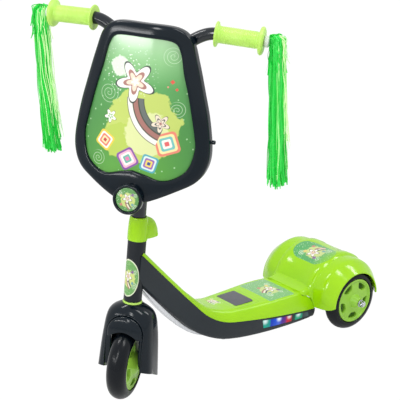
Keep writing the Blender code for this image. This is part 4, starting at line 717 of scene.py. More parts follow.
def shield_print():
    """Print under a clear gloss: made-up stars, curved stripes, nested blocks, curls and splashes, on a green field
    whose paler top is partly painted reflection.
    """
    material, tree, shader = surface("gloss_printed_panel", IOR=1.5, Roughness=0.14, Specular_IOR_Level=0.2,
                                     Coat_Weight=0.35, Coat_Roughness=0.08)
    at = place_in(tree, STEER)
    u, _, v = split(tree, at)
    # partly print, partly painted reflection: the field pales towards the top; it also darkens towards the sides
    stops = ((0.0, hexed("#62a545")), (0.40, tint("field")), (0.66, hexed("#64a862")), (0.84, hexed("#94ca8c")),
             (1.0, hexed("#b4dcae")))
    colour = shades(tree, v.fade(385.0, 596.0), stops)
    colour = mixed(tree, abs(u + 4.0).fade(32.0, 88.0, 0.0, 0.7), colour, hexed("#4a8c4a"))
    colour = speckled(tree, at, colour, hexed("#a5d39c"), 11.0, 0.10)
    curls = ((46.0, 572.0, 15.0, 5.0, 0.2), (-50.0, 505.0, 17.0, 5.5, 0.6), (58.0, 492.0, 13.0, 4.5, 0.9),
             (-60.0, 402.0, 12.0, 4.5, 0.1))
    colour = layered(tree, colour, [
        (curl(u, v, (x, y), reach, pitch, 0.35, turn) * 0.75, "#cfe9c6") for x, y, reach, pitch, turn in curls])
    for centre, radius, paint in (((-34.0, 548.0), 15.0, hexed("#e3f3dc")), ((8.0, 462.0), 57.0, tint("blob")),
                                  ((-26.0, 436.0), 27.0, hexed("#b9cf5e")), ((16.0, 452.0), 34.0, hexed("#dfe6a6"))):
        colour = mixed(tree, splash(tree, at, u, v, centre, radius, 0.9, 0.55), colour, paint)
    near, _ = polar(u, v, (-20.0, 540.0))
    spots = Number(add(tree, "TexVoronoi", {"Vector": at, "Scale": 0.22}).outputs["Distance"])
    colour = mixed(tree, spots.under(0.22, 0.04) * near.under(38.0, 12.0), colour, hexed("#f4fbf0"))
    blocks = ((48.0, 440.0, 17.0, 0.35, ("#e98a74", "#f7e9a8", "#79c4bf", "#fbf7ea", "#e5696a")),
              (24.0, 407.0, 12.5, -0.25, ("#58aebb", "#dff0ea", "#9b6bb5", "#f4d868", "#4a5a98")),
              (-10.0, 410.0, 14.5, 0.6, ("#8b57a6", "#f2b9cf", "#fbf7ea", "#6fb7a9", "#e77fae")),
              (-50.0, 432.0, 13.0, -0.5, ("#f0cf52", "#fbf7ea", "#e77f6c", "#f7e3b0", "#c8504e")))
    stripes = ((70.0, 4.6, "#454d48"), (70.0, 3.6, "#f7f4ea"), (61.0, 4.6, "#454d48"), (61.0, 3.6, "#a9776e"),
               (52.0, 4.6, "#3b423e"), (52.0, 3.6, "#6b726d"))
    stars = ((-8.0, 528.0, 33.0, ("#454d48", "#fbf9f2", "#b07f76", "#f3dfc9", "#fbf9f2")),
             (36.0, 470.0, 15.0, ("#454d48", "#f3e2cd", "#5d645f", "#f3e2cd", "#a9776e")),
             (-44.0, 470.0, 11.0, ("#454d48", "#fbf9f2", "#fbf9f2", "#8bbf7e", "#fbf9f2")))
    sparks = ((48.0, 534.0, 2.6, "#e0604f"), (55.0, 523.0, 1.8, "#e0604f"), (42.0, 526.0, 1.2, "#ee9a86"))
    colour = layered(tree, colour, [
        (slanted(u, v, (x, y), half * share, turn, 0.4, half * share * 0.35), code)
        for x, y, half, turn, codes in blocks for share, code in zip((1.0, 0.80, 0.60, 0.40, 0.20), codes)
    ] + [
        (arc_band(u, v, (56.0, 506.0), radius, half, pi * 1.20, 0.60, 0.4), code) for radius, half, code in stripes
    ] + [
        (star_mask(u, v, (x, y), size * share, 0.27, pi / 2 + 0.35, 0.4), code)
        for x, y, size, codes in stars for share, code in zip((1.0, 0.92, 0.60, 0.44, 0.20), codes)
    ] + [
        (slanted(u, v, (x, y), half, 0.78, 0.3, 0.4), code) for x, y, half, code in sparks
    ])
    faces = reach_along(tree, add(tree, "TexCoord").outputs["Normal"], (0, 1, 0))  # the back stays plain
    colour = mixed(tree, faces.under(0.0, 0.1), hexed("#aeb4b0"), colour)
    tree.links.new(colour, shader.inputs["Base Color"])
    grained(tree, shader, at, 8.0, 0.01)
    return material


def badge_print():
    """Round printed badge under a clear dome."""
    material, tree, shader = surface("gloss_badge", IOR=1.5, Roughness=0.1, Coat_Weight=0.6, Coat_Roughness=0.05)
    at = place_in(tree, STEER)
    u, _, z = split(tree, at)
    art = badge_art(tree, at, u, z - 350.5, 18.0, hexed("#5f9c52"), "#c9d982")
    tree.links.new(art, shader.inputs["Base Color"])
    grained(tree, shader, at, 5.0, 0.01)
    return material


def lit_cover():
    """Clear acrylic over the lamps: cells of colour that flow together, four with a white hot spot on top."""
    material, tree, shader = surface("lit_clear_cover", IOR=1.49, Roughness=0.08, Specular_IOR_Level=0.2,
                                     Emission_Strength=0.5)
    at = place_in(tree)
    _, y, z = split(tree, at)
    start, end = 29.0, 141.0
    cells = ((29.0, "#0ea98f"), (44.0, "#0c9a8c"), (48.0, "#0a35b4"), (58.0, "#1450d2"), (66.0, "#4a68dc"),
             (73.0, "#4a2596"), (81.0, "#641f80"), (86.0, "#cc1530"), (95.0, "#b81028"), (98.0, "#12302c"),
             (104.0, "#0b4a3c"), (107.0, "#0ca27c"), (121.0, "#0c9473"), (125.0, "#2c3f40"), (141.0, "#4c5f62"))
    stops = [((place - start) / (end - start), hexed(code)) for place, code in cells]
    colour = shades(tree, y.fade(start, end), stops)
    rise = (y - start).math("MULTIPLY_ADD", 0.139, z - 58.0)
    for place, size, most in ((34.5, 9.0, 0.8), (66.0, 8.0, 0.9), (90.0, 7.5, 0.75), (113.0, 8.5, 0.8)):
        away, _ = polar(y, rise, (place, 5.4))
        hot = away.fade(0.5, size, most, 0.0, interpolation_type="SMOOTHSTEP")
        colour = mixed(tree, hot, colour, hexed("#eefcff"))
    tree.links.new(mixed(tree, 0.45, colour, hexed("#000000")), shader.inputs["Base Color"])
    tree.links.new(colour, shader.inputs["Emission Color"])
    grained(tree, shader, at, 2.5, 0.03)
    return material


FINISHES = {}
MAKERS = {
    "lime_gloss_plastic": lime_abs, "lime_soft_grip": soft_grip,
    "lime_wheel_plastic": lambda: wheel_pp("lime_rear_wheel_pp"),
    "black_gloss_paint": black_paint, "black_satin_paint": satin_tube,
    "grey_satin_paint": lambda: zinc_steel("pale_zinc_steel", 0.4, "#e4e6ea"),
    "black_gloss_plastic": black_moulding, "black_matt_plastic": textured_black,
    "dark_grey_rubber": pad_rubber, "green_gloss_plastic": shield_print, "white_plastic": white_nylon,
    "clear_light_cover": lit_cover, "board_green": circuit_board,
    "zinc_steel": lambda: zinc_steel("bright_zinc_steel", 0.2, "#c9ccd0"),
    "black_tyre": wheel_rubber, "green_ribbon": ribbon_film,
}


def finish_for(slot):
    """The finish of one of the record's material slots, made once."""
    if slot not in FINISHES:
        FINISHES[slot] = MAKERS[slot]()
    return FINISHES[slot]


def dressed(node, width=0.0004, angle=32, finish=None):
    """Moulded look of a CAD node: its own faces with rounded edges and a finish."""
    return hang(soften(copied(node), width, angle), node, finish)


def place(piece, where, node, angle=40, width=0.0, segments=2, finish=None):
    """Move a piece to where it belongs, smooth it, and hang it in place of its CAD node."""
    return hang(soften(settle(piece, where), width, angle, segments), node, finish)


# Shapes shared by the pieces


def smooth_rows(rows, count):
    """Rows of numbers resampled along a smooth line through them."""
    spots = []
    for k in range(len(rows) - 1):
        near = (rows[max(k - 1, 0)], rows[k], rows[k + 1], rows[min(k + 2, len(rows) - 1)])
        for i in range(count):
            t = i / count
            spots.append([
                b + 0.5 * t * (c - a + t * (2 * a - 5 * b + 4 * c - d + t * (3 * (b - c) + d - a)))
                for a, b, c, d in zip(*near)
            ])
    return spots + [list(rows[-1])]


def heading(points, i):
    """Direction of a line of points at one of them."""
    return (points[min(i + 1, len(points) - 1)] - points[max(i - 1, 0)]).normalized()


def quadratic(t, a, b, c):
    """Point of a curve that starts at a, ends at c and is drawn towards b."""
    return (1 - t) ** 2 * a + 2 * t * (1 - t) * b + t * t * c


def cubic(t, a, b, c, d):
    """Point of a curve that starts at a towards b, and ends at d from c."""
    return (1 - t) ** 3 * a + 3 * (1 - t) ** 2 * t * b + 3 * (1 - t) * t * t * c + t ** 3 * d


def round_turn(count):
    """Angles of a full turn in equal steps."""
    return [2 * pi * k / count for k in range(count)]


def flipped(points):
    """The same outline on the other side, run the other way."""
    return [(-x, z) for x, z in reversed(points)]


def rounded(corners, radius, count=3):
    """Outline with its inner corners rounded, for turned profiles."""
    points = [tuple(corners[0])]
    for before, here, after in zip(corners, corners[1:], corners[2:]):
        here = Vector(here)
        one, two = Vector(before) - here, Vector(after) - here
        back = min(radius, one.length * 0.45, two.length * 0.45)
        a, b = here + one.normalized() * back, here + two.normalized() * back
        points += [tuple(quadratic(i / count, a, here, b)) for i in range(count + 1)]
    return points + [tuple(corners[-1])]


def hub_pocket(rim, middle, floor, mouth):
    """Cutter of one opening: a trapezoid with round corners that narrows a little with depth."""
    low, high = rim * 0.56, rim * 0.85
    wide, narrow = radians(22.5), radians(15.75)
    ring = [(high, middle + wide * t) for t in (-1, -0.6, -0.2, 0.2, 0.6, 1)]
    ring += [(low, middle - narrow * t) for t in (-1, -0.35, 0.35, 1)]
    core = Vector((0, cos(middle), sin(middle))) * (low + high) / 2
    tool = ringed("tool", [
        [Vector((x, 0, 0)) + core + (Vector((0, r * cos(a), r * sin(a))) - core) * share for r, a in ring]
        for x, share in ((floor, 0.88), (mouth, 1.0))
    ])
    return apply_step(tool, "BEVEL", width=0.0032, segments=4, limit_method="ANGLE", angle_limit=radians(40))


def wheel_hub(name, rim, half, inside, outside, web, sides, where):
    """Moulded hub turned about its axle, with deep rounded openings in its cone."""
    bore, inner = 0.0048, rim - 0.0032
    corners = [(inside[0][0], bore)] + inside + [(-half, inner), (-half, rim), (half, rim), (half, inner)]
    corners += outside[::-1] + [(outside[0][0], bore)]
    piece = turned(name, rounded(corners, 0.0014), 96)
    for turn in round_turn(bpy.context.scene.scooter_wheels.openings):
        for way in sides:
            pocket = hub_pocket(rim, radians(49.5) + turn, web + way * 0.0014, way * half * 1.5)
            cut(piece, pocket, solver="EXACT")
    return soften(settle(piece, where), 0.0006, 38, 3)


def wheel_tyre(name, radius, half, rim, where, grooves=()):
    """Solid tyre turned about its axle, with an optional tread of fine grooves."""
    foot, seat, steps = rim + 0.0003, half * 0.86, 40
    profile = [(-seat, foot)]
    for i in range(steps + 1):
        a = pi * i / steps
        x, r = -half * cos(a), radius - half + half * sin(a)
        depth = sum(0.00045 * max(0.0, 1 - abs(x - g) / 0.0009) for g in grooves)
        profile.append((x, r - depth))
    profile.append((seat, foot))
    return soften(settle(turned(name, profile, 120), where), 0.0, 50)


def grip_frame(side):
    """Frame of one grip: X runs outwards from the inner flange."""
    sweep, fall = radians(4.5), radians(1.7)
    way = Vector((side * cos(sweep) * cos(fall), sin(sweep), -sin(fall)))
    turn = Vector((1, 0, 0)).rotation_difference(way.normalized())
    return Matrix.Translation((side * GRIP_X, 0.0046, 0.6066)) @ turn.to_matrix().to_4x4()


def swept(name, points, radius, count=32):
    """Round bar along a line of points."""
    loops = []
    for i, p in enumerate(points):
        way = heading(points, i)
        side = Vector((0, 1, 0)).cross(way).normalized()
        up = way.cross(side)
        loops.append([p + radius * (side * cos(a) + up * sin(a)) for a in round_turn(count)])
    return ringed(name, loops)


def shield_depth(x, z):
    """Depth of the shield's bowed face at a point."""
    return -0.052 + SHIELD_LEAN * (z - 0.428) + 3.0 * x * x


SHIELD_OUTLINE = (
    (0.000, 0.6159), (0.046, 0.6139), (0.0685, 0.5980), (0.0805, 0.5632), (0.0925, 0.5174),
    (0.1025, 0.4756), (0.1090, 0.4298), (0.1055, 0.4020), (0.0930, 0.3821), (0.0680, 0.3672),
    (0.0290, 0.3483), (0.000, 0.3403),
)
PANEL_OUTLINE = (
    (0.000, 0.5955), (0.0420, 0.5935), (0.0555, 0.5791), (0.0635, 0.5453), (0.0735, 0.5094),
    (0.0850, 0.4577), (0.0880, 0.4338), (0.0810, 0.4040), (0.0640, 0.3881), (0.0430, 0.3826),
    (0.0200, 0.3890), (0.000, 0.3935),
)


def shield_loop(outline, depth, inset=0.0, toward=None, share=0.0):
    """Closed loop of a shield outline on the bowed face, at a depth behind it."""
    loop, other = (half[:-1] + flipped(half[1:]) for half in (
        smooth_rows(outline, 6), smooth_rows(toward or outline, 6)))
    loop = [(a[0] + (b[0] - a[0]) * share, a[1] + (b[1] - a[1]) * share) for a, b in zip(loop, other)]
    points = []
    for i, (x, z) in enumerate(loop):
        way = (Vector(loop[(i + 1) % len(loop)]) - Vector(loop[i - 1])).normalized()
        x, z = x + way.y * inset, z - way.x * inset
        points.append((x, shield_depth(x, z) + depth, z))
    return points


# Operators: one for each group of like pieces


class SCOOTER_OT_stage(bpy.types.Operator):
    """Set up the camera, the soft lamps, the white room and the floor"""

    bl_idname = "scooter.stage"
    bl_label = "Stage"

    def execute(self, context):
        values = context.scene.scooter_stage
        eye, aim = Vector(values.eye), Vector(values.aim)
        bpy.ops.object.camera_add(location=eye)
        camera = context.object
        camera.name = "stage_camera"
        back = (eye - aim).normalized()
        right = Vector((0, 0, 1)).cross(back).normalized()
        up = back.cross(right)
        c, s = cos(values.roll), sin(values.roll)
        turn = Matrix((right * c + up * s, up * c - right * s, back)).transposed().to_4x4()
        camera.matrix_world = Matrix.Translation(eye) @ turn
        camera.data.sensor_width = 36
        camera.data.lens = values.lens
        camera.data.clip_end = 20
        context.scene.camera = camera
        context.scene.view_settings.view_transform = "Standard"
        self.lamps()
        self.room(context, values.glow)
        self.floor()
        return {"FINISHED"}

    def lamps(self):
        """Narrow strip boxes, whose shapes show small and bright in the glossy mouldings."""
        middle = Vector((0.0, 0.0, 0.28))
        boxes = (  # name, turn and height in degrees, distance, size, watts
            ("top", 12.0, 65.0, 1.6, (0.26, 0.72), 8.0),
            ("right", 62.0, 37.0, 1.6, (0.14, 0.70), 5.0),
            ("left", -138.0, 58.0, 1.6, (0.14, 0.50), 5.0),
            ("front", -62.0, 34.0, 1.7, (0.16, 0.60), 5.5),
            ("band", -88.0, 15.0, 1.35, (1.00, 0.055), 3.6),
        )
        for name, turn, height, away, size, power in boxes:
            turn, height = radians(turn), radians(height)
            way = Vector((cos(turn) * cos(height), sin(turn) * cos(height), sin(height)))
            bpy.ops.object.light_add(type="AREA", location=middle + way * away)
            lamp = bpy.context.object
            lamp.name = "stage_" + name
            lamp.rotation_euler = way.to_track_quat("Z", "Y").to_euler()
            lamp.data.shape = "RECTANGLE"
            lamp.data.size, lamp.data.size_y = size
            lamp.data.energy = power

    def seen(self, tree, gloss):
        """Share of plain white for the camera's rays, those through glass, and those off gloss."""
        path = add(tree, "LightPath").outputs
        camera, glossy, glass = (Number(path["Is %s Ray" % kind]) for kind in ("Camera", "Glossy", "Transmission"))
        return (glossy * gloss).math("MAXIMUM", camera).math("MAXIMUM", glass)

    def room(self, context, glow):
        """White where it is seen, and a soft grey room as light."""
        world = bpy.data.worlds.new("stage_room")
        context.scene.world = world
        world.use_nodes = True
        tree = world.node_tree
        tree.nodes.clear()
        light = mixed(tree, self.seen(tree, 1.0), (glow, glow, glow, 1), (1, 1, 1, 1))
        room = add(tree, "Background", {"Color": light, "Strength": 1.0})
        add(tree, "OutputWorld", {"Surface": room.outputs[0]})

    def floor(self):
        """Paper floor, nearly white where it is seen, that keeps a faint shadow and is dim in the gloss."""
        bpy.ops.mesh.primitive_plane_add(size=8, location=(0, 0, 0))
        floor = bpy.context.object
        floor.name = "stage_floor"
        material, tree, shader = surface("stage_floor_paper", Base_Color=(0.9, 0.9, 0.9, 1), Roughness=0.9)
        white = add(tree, "Emission", {"Color": (1, 1, 1, 1), "Strength": 1.05})
        share = self.seen(tree, 0.25) * 0.95
        blend = add(tree, "MixShader", {0: share, 1: shader.outputs[0], 2: white.outputs[0]})
        tree.links.new(blend.outputs[0], tree.nodes["Material Output"].inputs["Surface"])
        floor.data.materials.append(material)


class SCOOTER_OT_front_wheel(bpy.types.Operator):
    """Turn the front tyre and hub, with the axle rod and its spacers"""

    bl_idname = "scooter.front_wheel"
    bl_label = "Front wheel"

    def execute(self, context):
        size = context.scene.scooter_wheels
        rim = size.front_rim
        outside = [(0.0276, 0.0095), (0.0230, 0.0095), (0.0215, 0.0125), (0.0174, 0.0200), (0.0146, rim - 0.0036)]
        inside = [(-x, r) for x, r in outside]
        hub = wheel_hub("front_hub_moulding", rim, 0.0150, inside, outside, 0.0, (1, -1), FRONT_AXLE)
        hang(hub, "front_hub", wheel_pp("lime_front_wheel_pp", FRONT_AXLE))
        tyre = wheel_tyre("front_tyre_rubber", size.front_radius, size.front_half, rim, FRONT_AXLE)
        hang(tyre, "front_tyre")
        for node in ("front_axle", "front_spacer_left", "front_spacer_right"):
            dressed(node, 0.0002)
        return {"FINISHED"}


class SCOOTER_OT_rear_wheels(bpy.types.Operator):
    """Turn the two rear wheels with ribbed treads, and finish the axle, washers and nuts"""

    bl_idname = "scooter.rear_wheels"
    bl_label = "Rear wheels"

    def execute(self, context):
        size = context.scene.scooter_wheels
        rim = size.rear_rim
        inside = [(-0.0170, 0.0095), (-0.0024, 0.0115), (0.0006, 0.0125), (-0.0009, rim - 0.0042)]
        outside = [(0.0262, 0.0078), (0.0127, 0.0125), (0.0111, rim - 0.0042)]
        grooves = [0.0028 * k for k in range(-3, 4)]
        for side, word in SIDES:
            where = Matrix.Translation((side * size.track_half, size.axle_y, size.rear_radius))
            if side < 0:
                where = where @ Matrix.Rotation(pi, 4, "Z")
            hub = wheel_hub("rear_hub_moulding_" + word, rim, 0.0137, inside, outside, 0.0020, (1,), where)
            hang(hub, "rear_hub_" + word)
            tyre = wheel_tyre("rear_tyre_rubber_" + word, size.rear_radius, size.rear_half, rim, where, grooves)
            hang(tyre, "rear_tyre_" + word)
            dressed("rear_nut_" + word, 0.0006, 30)
            dressed("rear_washer_" + word, 0.0003)
        dressed("rear_axle", 0.0002)
        dressed("axle_tube", 0.0003)
        return {"FINISHED"}


class SCOOTER_OT_fork(bpy.types.Operator):
    """Draw out the moulded fork, cut its slot and legs, and add its raised arch and guard"""

    bl_idname = "scooter.fork"
    bl_label = "Fork"

    CROWN, ARCH = 0.1610, 0.1165  # heights of the fork's top and of the arch's middle
    # height from the crown, half width, half depth, middle, squareness
    ROWS = (
        (0.0000, 0.0164, 0.0164, 0.000, 2.0), (-0.0060, 0.0280, 0.0230, 0.000, 2.1),
        (-0.0140, 0.0360, 0.0285, 0.001, 2.4), (-0.0260, 0.0398, 0.0320, 0.002, 2.8),
        (-0.0450, 0.0417, 0.0345, 0.003, 3.3), (-0.0730, 0.0436, 0.0355, 0.003, 3.8),
        (-0.1290, 0.0468, 0.0360, 0.003, 4.0),
    )

    def ring(self, row, count=64):
        """Loop of one row: height under the crown, half width and depth, middle, and squareness."""
        z, half_x, half_y, centre, power = row
        loop = []
        for k in range(count):
            a = 2 * pi * (k + 0.5) / count
            c, s = cos(a), sin(a)
            grow = (abs(c) ** power + abs(s) ** power) ** (-1 / power)
            loop.append((half_x * c * grow, centre + half_y * s * grow, self.CROWN + z))
        return loop

    def front_at(self, x, z):
        """Depth of the fork's front face."""
        rows = smooth_rows(self.ROWS, 8)
        row = min(rows, key=lambda r: abs(self.CROWN + r[0] - z))
        _, half_x, half_y, centre, power = row
        share = min(abs(x) / half_x, 0.999)
        return centre - half_y * (1 - share ** power) ** (1 / power)

    def execute(self, context):
        self.shell()
        self.arch()
        self.guard()
        ring = rounded([(0.1613, 0.0114), (0.1613, 0.0158), (0.1645, 0.0158), (0.1645, 0.0114)], 0.0008)
        piece = turned("collar_ring_moulding", ring, 72)
        place(piece, STEER @ UPRIGHT, "collar_ring", finish=finish_for("lime_soft_grip"))
        return {"FINISHED"}

    def shell(self):
        """Fork body with its arch, wheel room, hollow between the legs, stepped ends and bores."""
        shell = ringed("fork_moulding", [self.ring(row) for row in smooth_rows(self.ROWS, 4)])
        cut(shell, rod(-0.030, 0.030, 0.0688, 128, AXLE_IN_FORK))
        cut(shell, self.arch_front(0.0298, [(-0.0149, 1.0), (-0.08, 1.0)], 0.03))
        centre, low = 0.003, self.CROWN - 0.129
        front, deep, top = -0.0032, 0.0275, AXLE_HEIGHT + 0.045
        cut(shell, slab([
            (front, low - 0.01), (centre + deep, low - 0.01), (centre + deep, top - 0.012),
            (centre + deep * 0.6, top), (front + 0.006, top), (front, top - 0.006),
        ], 0.038))
        ends = ((-0.070, 0.0320), (-0.036, 0.0242), (-0.015, 0.0165), (-0.0115, 0.0215), (0.007, 0.0060),
                (0.017, 0.0015), (0.070, 0.0015), (0.070, -0.05), (-0.070, -0.05))
        cut(shell, slab([(centre + y, low + z) for y, z in ends], 0.1))
        cut(shell, rod(0.1362, 0.2, 0.0114, 64, UPRIGHT))
        cut(shell, rod(-0.0343, 0.0343, 0.0043, 32, AXLE_IN_FORK))
        place(shell, STEER, "fork_shell", 35, 0.0011, 3)

    def arch_front(self, radius, stations, foot, count=40):
        """Arch, half round on top, drawn out through stations of (y, share of the radius)."""
        loops = []
        for y, share in stations:
            r = radius * share
            loop = [(r * cos(pi * k / count), y, self.ARCH + r * sin(pi * k / count)) for k in range(count + 1)]
            loops.append(loop + [(-r, y, self.ARCH - foot), (r, y, self.ARCH - foot)])
        return ringed("tool", loops)

    def arch(self):
        """Raised bead that frames the wheel opening and runs down both legs."""
        radius, foot = 0.0310, 0.052
        drops = (1.0, 0.75, 0.5, 0.25)
        spots = [(radius, self.ARCH - foot * t) for t in drops]
        spots += [(radius * cos(pi * k / 28), self.ARCH + radius * sin(pi * k / 28)) for k in range(29)]
        spots += [(-radius, self.ARCH - foot * t) for t in drops[::-1]]
        path = [Vector((x, self.front_at(x, z) - 0.0001, z)) for x, z in spots]
        out = Vector((0, -1, 0))
        loops = []
        for i, p in enumerate(path):
            side = heading(path, i).cross(out).normalized()
            loops.append([p + 0.0013 * side * cos(b) + 0.0014 * out * sin(b) for b in round_turn(12)])
        add_to(soften(settle(ringed("fork_arch_bead", loops), STEER), 0.0, 60), "fork_shell")

    def guard(self):
        """Guard over the tyre and the domed visor that closes the arch, in one moulding."""
        rho, wall, nose, start, steps = 0.0293, 0.0028, 0.0085, -0.0295, 20
        angles = [pi / 2 * i / 18 for i in range(18)] + [radians(87.5)]
        dome = [(start - nose * sin(a), cos(a)) for a in angles]
        piece = self.arch_front(rho, [(-0.0155, 1.0)] + dome, 0.006, 64)
        piece.name = "front_mudguard_moulding"
        hollow = [(start - (nose - wall) * sin(a), cos(a)) for a in angles]
        cut(piece, self.arch_front(rho - wall, [(-0.0055, 1.0)] + hollow, 0.016, 64))
        shares = [2 * k / steps - 1 for k in range(steps + 1)]
        low = 0.0262
        lip = [(low * t, 0.0670 - 0.0140 * t * t) for t in shares]
        cut(piece, settle(turned("tool", [(-low, 0.0)] + lip + [(low, 0.0)], 128), AXLE_IN_FORK))
        outside = [(0.0270 * t, 0.0684 - 0.0140 * t * t) for t in shares]
        outline = outside + [(x, r - wall) for x, r in reversed(outside)]
        turns = [radians(66) + radians(47) * i / 30 for i in range(31)]
        band = ringed("tool", [[(x, r * cos(a), r * sin(a)) for x, r in outline] for a in turns])
        cut(piece, settle(band, AXLE_IN_FORK), "UNION")
        place(piece, STEER, "front_mudguard", 40, 0.0008, 3)
        for side, word in SIDES:
            self.skirt(side, word)

    def skirt(self, side, word):
        """Narrow wall that runs down from the visor between the tyre and one leg."""
        less = 0.0 if side < 0 else 0.0042
        rows = ((0.004, 0.0235, -0.0300), (-0.012, 0.0212, -0.0300), (-0.030, 0.0206, -0.0296),
                (-0.046, 0.0216, -0.0290), (-0.056, 0.0236, -0.0284))
        loops = []
        for drop, inner, y in smooth_rows(rows, 5):
            z, outer, inner = self.ARCH + drop, 0.0300, inner + less
            loop = [(inner, y), (inner + 0.0008, y - 0.0010), (inner + 0.0030, y - 0.0013), (outer, y - 0.0006),
                    (outer, y + 0.0012), (inner + 0.0016, y + 0.0012)]
            loops.append([(side * x, depth, z) for x, depth in loop])
        piece = settle(ringed("front_guard_skirt_" + word, loops), STEER)
        add_to(soften(piece, 0.0, 50), "front_mudguard")


class SCOOTER_OT_head(bpy.types.Operator):
    """Turn the head tube, its bushes and the hooded cap, and finish the neck's steel strip"""

    bl_idname = "scooter.head"
    bl_label = "Head tube and cap"

    LOW, LENGTH, RADIUS = 0.1665, 0.1075, 0.0148  # of the head tube, along the steering axis

    def execute(self, context):
        low, high, bore = self.LOW, self.LOW + self.LENGTH, 0.0126
        tube = rounded([(low, bore), (low, self.RADIUS), (high, self.RADIUS), (high, bore)], 0.0006)
        place(turned("head_tube_steel", tube, 96), HEAD @ UPRIGHT, "head_tube")
        self.cap(high - 0.006)
        dressed("upper_bush", 0.0003)
        dressed("lower_bush", 0.0003, 32, finish_for("black_matt_plastic"))
        dressed("neck_strip", 0.0004, 30)
        return {"FINISHED"}

    def cap(self, low):
        """Bell over the tube's end, with a hood that reaches back over the neck."""
        tall, skirt, top = 0.038, self.RADIUS + 0.0013, 0.0135
        high = low + tall
        profile = [(low, 0.0), (low, skirt)]
        for i in range(15):
            a = pi / 2 * i / 14
            profile.append((high - tall * 0.86 * (1 - sin(a)), top + (skirt - top) * cos(a)))
        profile.append((high, 0.0))
        bell = settle(turned("head_cap_moulding", profile, 72), UPRIGHT)
        loops = []
        for i in range(21):
            t = i / 20
            drop = tall * (1 - max(1 - 0.985 * t ** 2.6, 0.0) ** (1 / 2.6))
            half = 0.0125 * sqrt(max(1 - 0.80 * t ** 3, 0.0))
            foot = low + 0.0022
            rise = (high - 0.001 - foot) * (1 - drop / tall * 0.97)
            arc = [pi * k / 20 for k in range(21)]
            loops.append([(half * cos(a), 0.0375 * t, foot + rise * sin(a)) for a in arc])
        cut(bell, ringed("tool", loops), "UNION", "EXACT")
        cut(bell, rod(low - 0.01, low + 0.0080, 0.0151, 72, UPRIGHT), solver="EXACT")
        cut(bell, rod(low, high + 0.01, 0.0119, 72, UPRIGHT), solver="EXACT")
        place(bell, HEAD, "head_cap", 38, 0.0010, 3)


class SCOOTER_OT_handlebar(bpy.types.Operator):
    """Draw the bent bar and its column, and turn the ribbed grips and their end plugs"""

    bl_idname = "scooter.handlebar"
    bl_label = "Handlebar and grips"

    def execute(self, context):
        self.bar()
        hang(soften(copied("steering_column"), 0.0003, 40), "steering_column")
        for side, word in SIDES:
            self.grip(STEER @ grip_frame(side), word)
        return {"FINISHED"}

    def bar(self):
        """Tube bent up on both sides of the column."""
        inside_grip = grip_frame(1)
        inner = inside_grip.translation
        shoulder = inner - inside_grip.to_3x3() @ Vector((1, 0, 0)) * 0.030
        start, low = Vector((0.020, 0, 0.560)), Vector((0.34 * GRIP_X, 0, 0.563))
        half = [Vector((0, 0, 0.560))]
        half += [cubic(i / 40, start, low, shoulder, inner) for i in range(41)]
        half.append(inside_grip @ Vector((0.0702, 0, 0)))
        other = [Vector((-p.x, p.y, p.z)) for p in reversed(half[1:])]
        place(swept("handlebar_tube", other + half, 0.0095), STEER, "handlebar", 50)

    def grip(self, where, word):
        """Grip with flanges at both ends and fine rings between them, and the plug in its end."""
        end, radius, rings = 0.0735, 0.0130, 22
        corners = [(0.0, 0.0098), (0.0, 0.0187), (0.0015, 0.0197), (0.0030, 0.0187), (0.0050, radius)]
        first, last = 0.0062, end - 0.0105
        pitch = (last - first) / rings
        for k in range(rings):
            x, crest, dip = first + pitch * k, radius + 0.00010, radius - 0.00040
            corners += [(x, crest), (x + pitch * 0.30, crest), (x + pitch * 0.45, dip), (x + pitch * 0.75, dip)]
        corners += [(end - 0.0085, radius), (end - 0.0065, 0.0202), (end - 0.0039, 0.0217), (end - 0.0015, 0.0207),
                    (end, 0.0177), (end, 0.0048), (end - 0.003, 0.0048), (end - 0.003, 0.0098)]
        place(turned("grip_rubber_" + word, rounded(corners, 0.0004, 2), 72), where, "grip_" + word, 45)
        head = end + 0.0003
        plug = [(end - 0.0027, 0.0), (end - 0.0027, 0.0045), (head, 0.0045), (head, 0.0085), (head + 0.0060, 0.0085),
                (head + 0.0075, 0.0070), (head + 0.0075, 0.0)]
        place(turned("end_plug_nylon_" + word, rounded(plug, 0.0012, 4), 48), where, "end_plug_" + word)


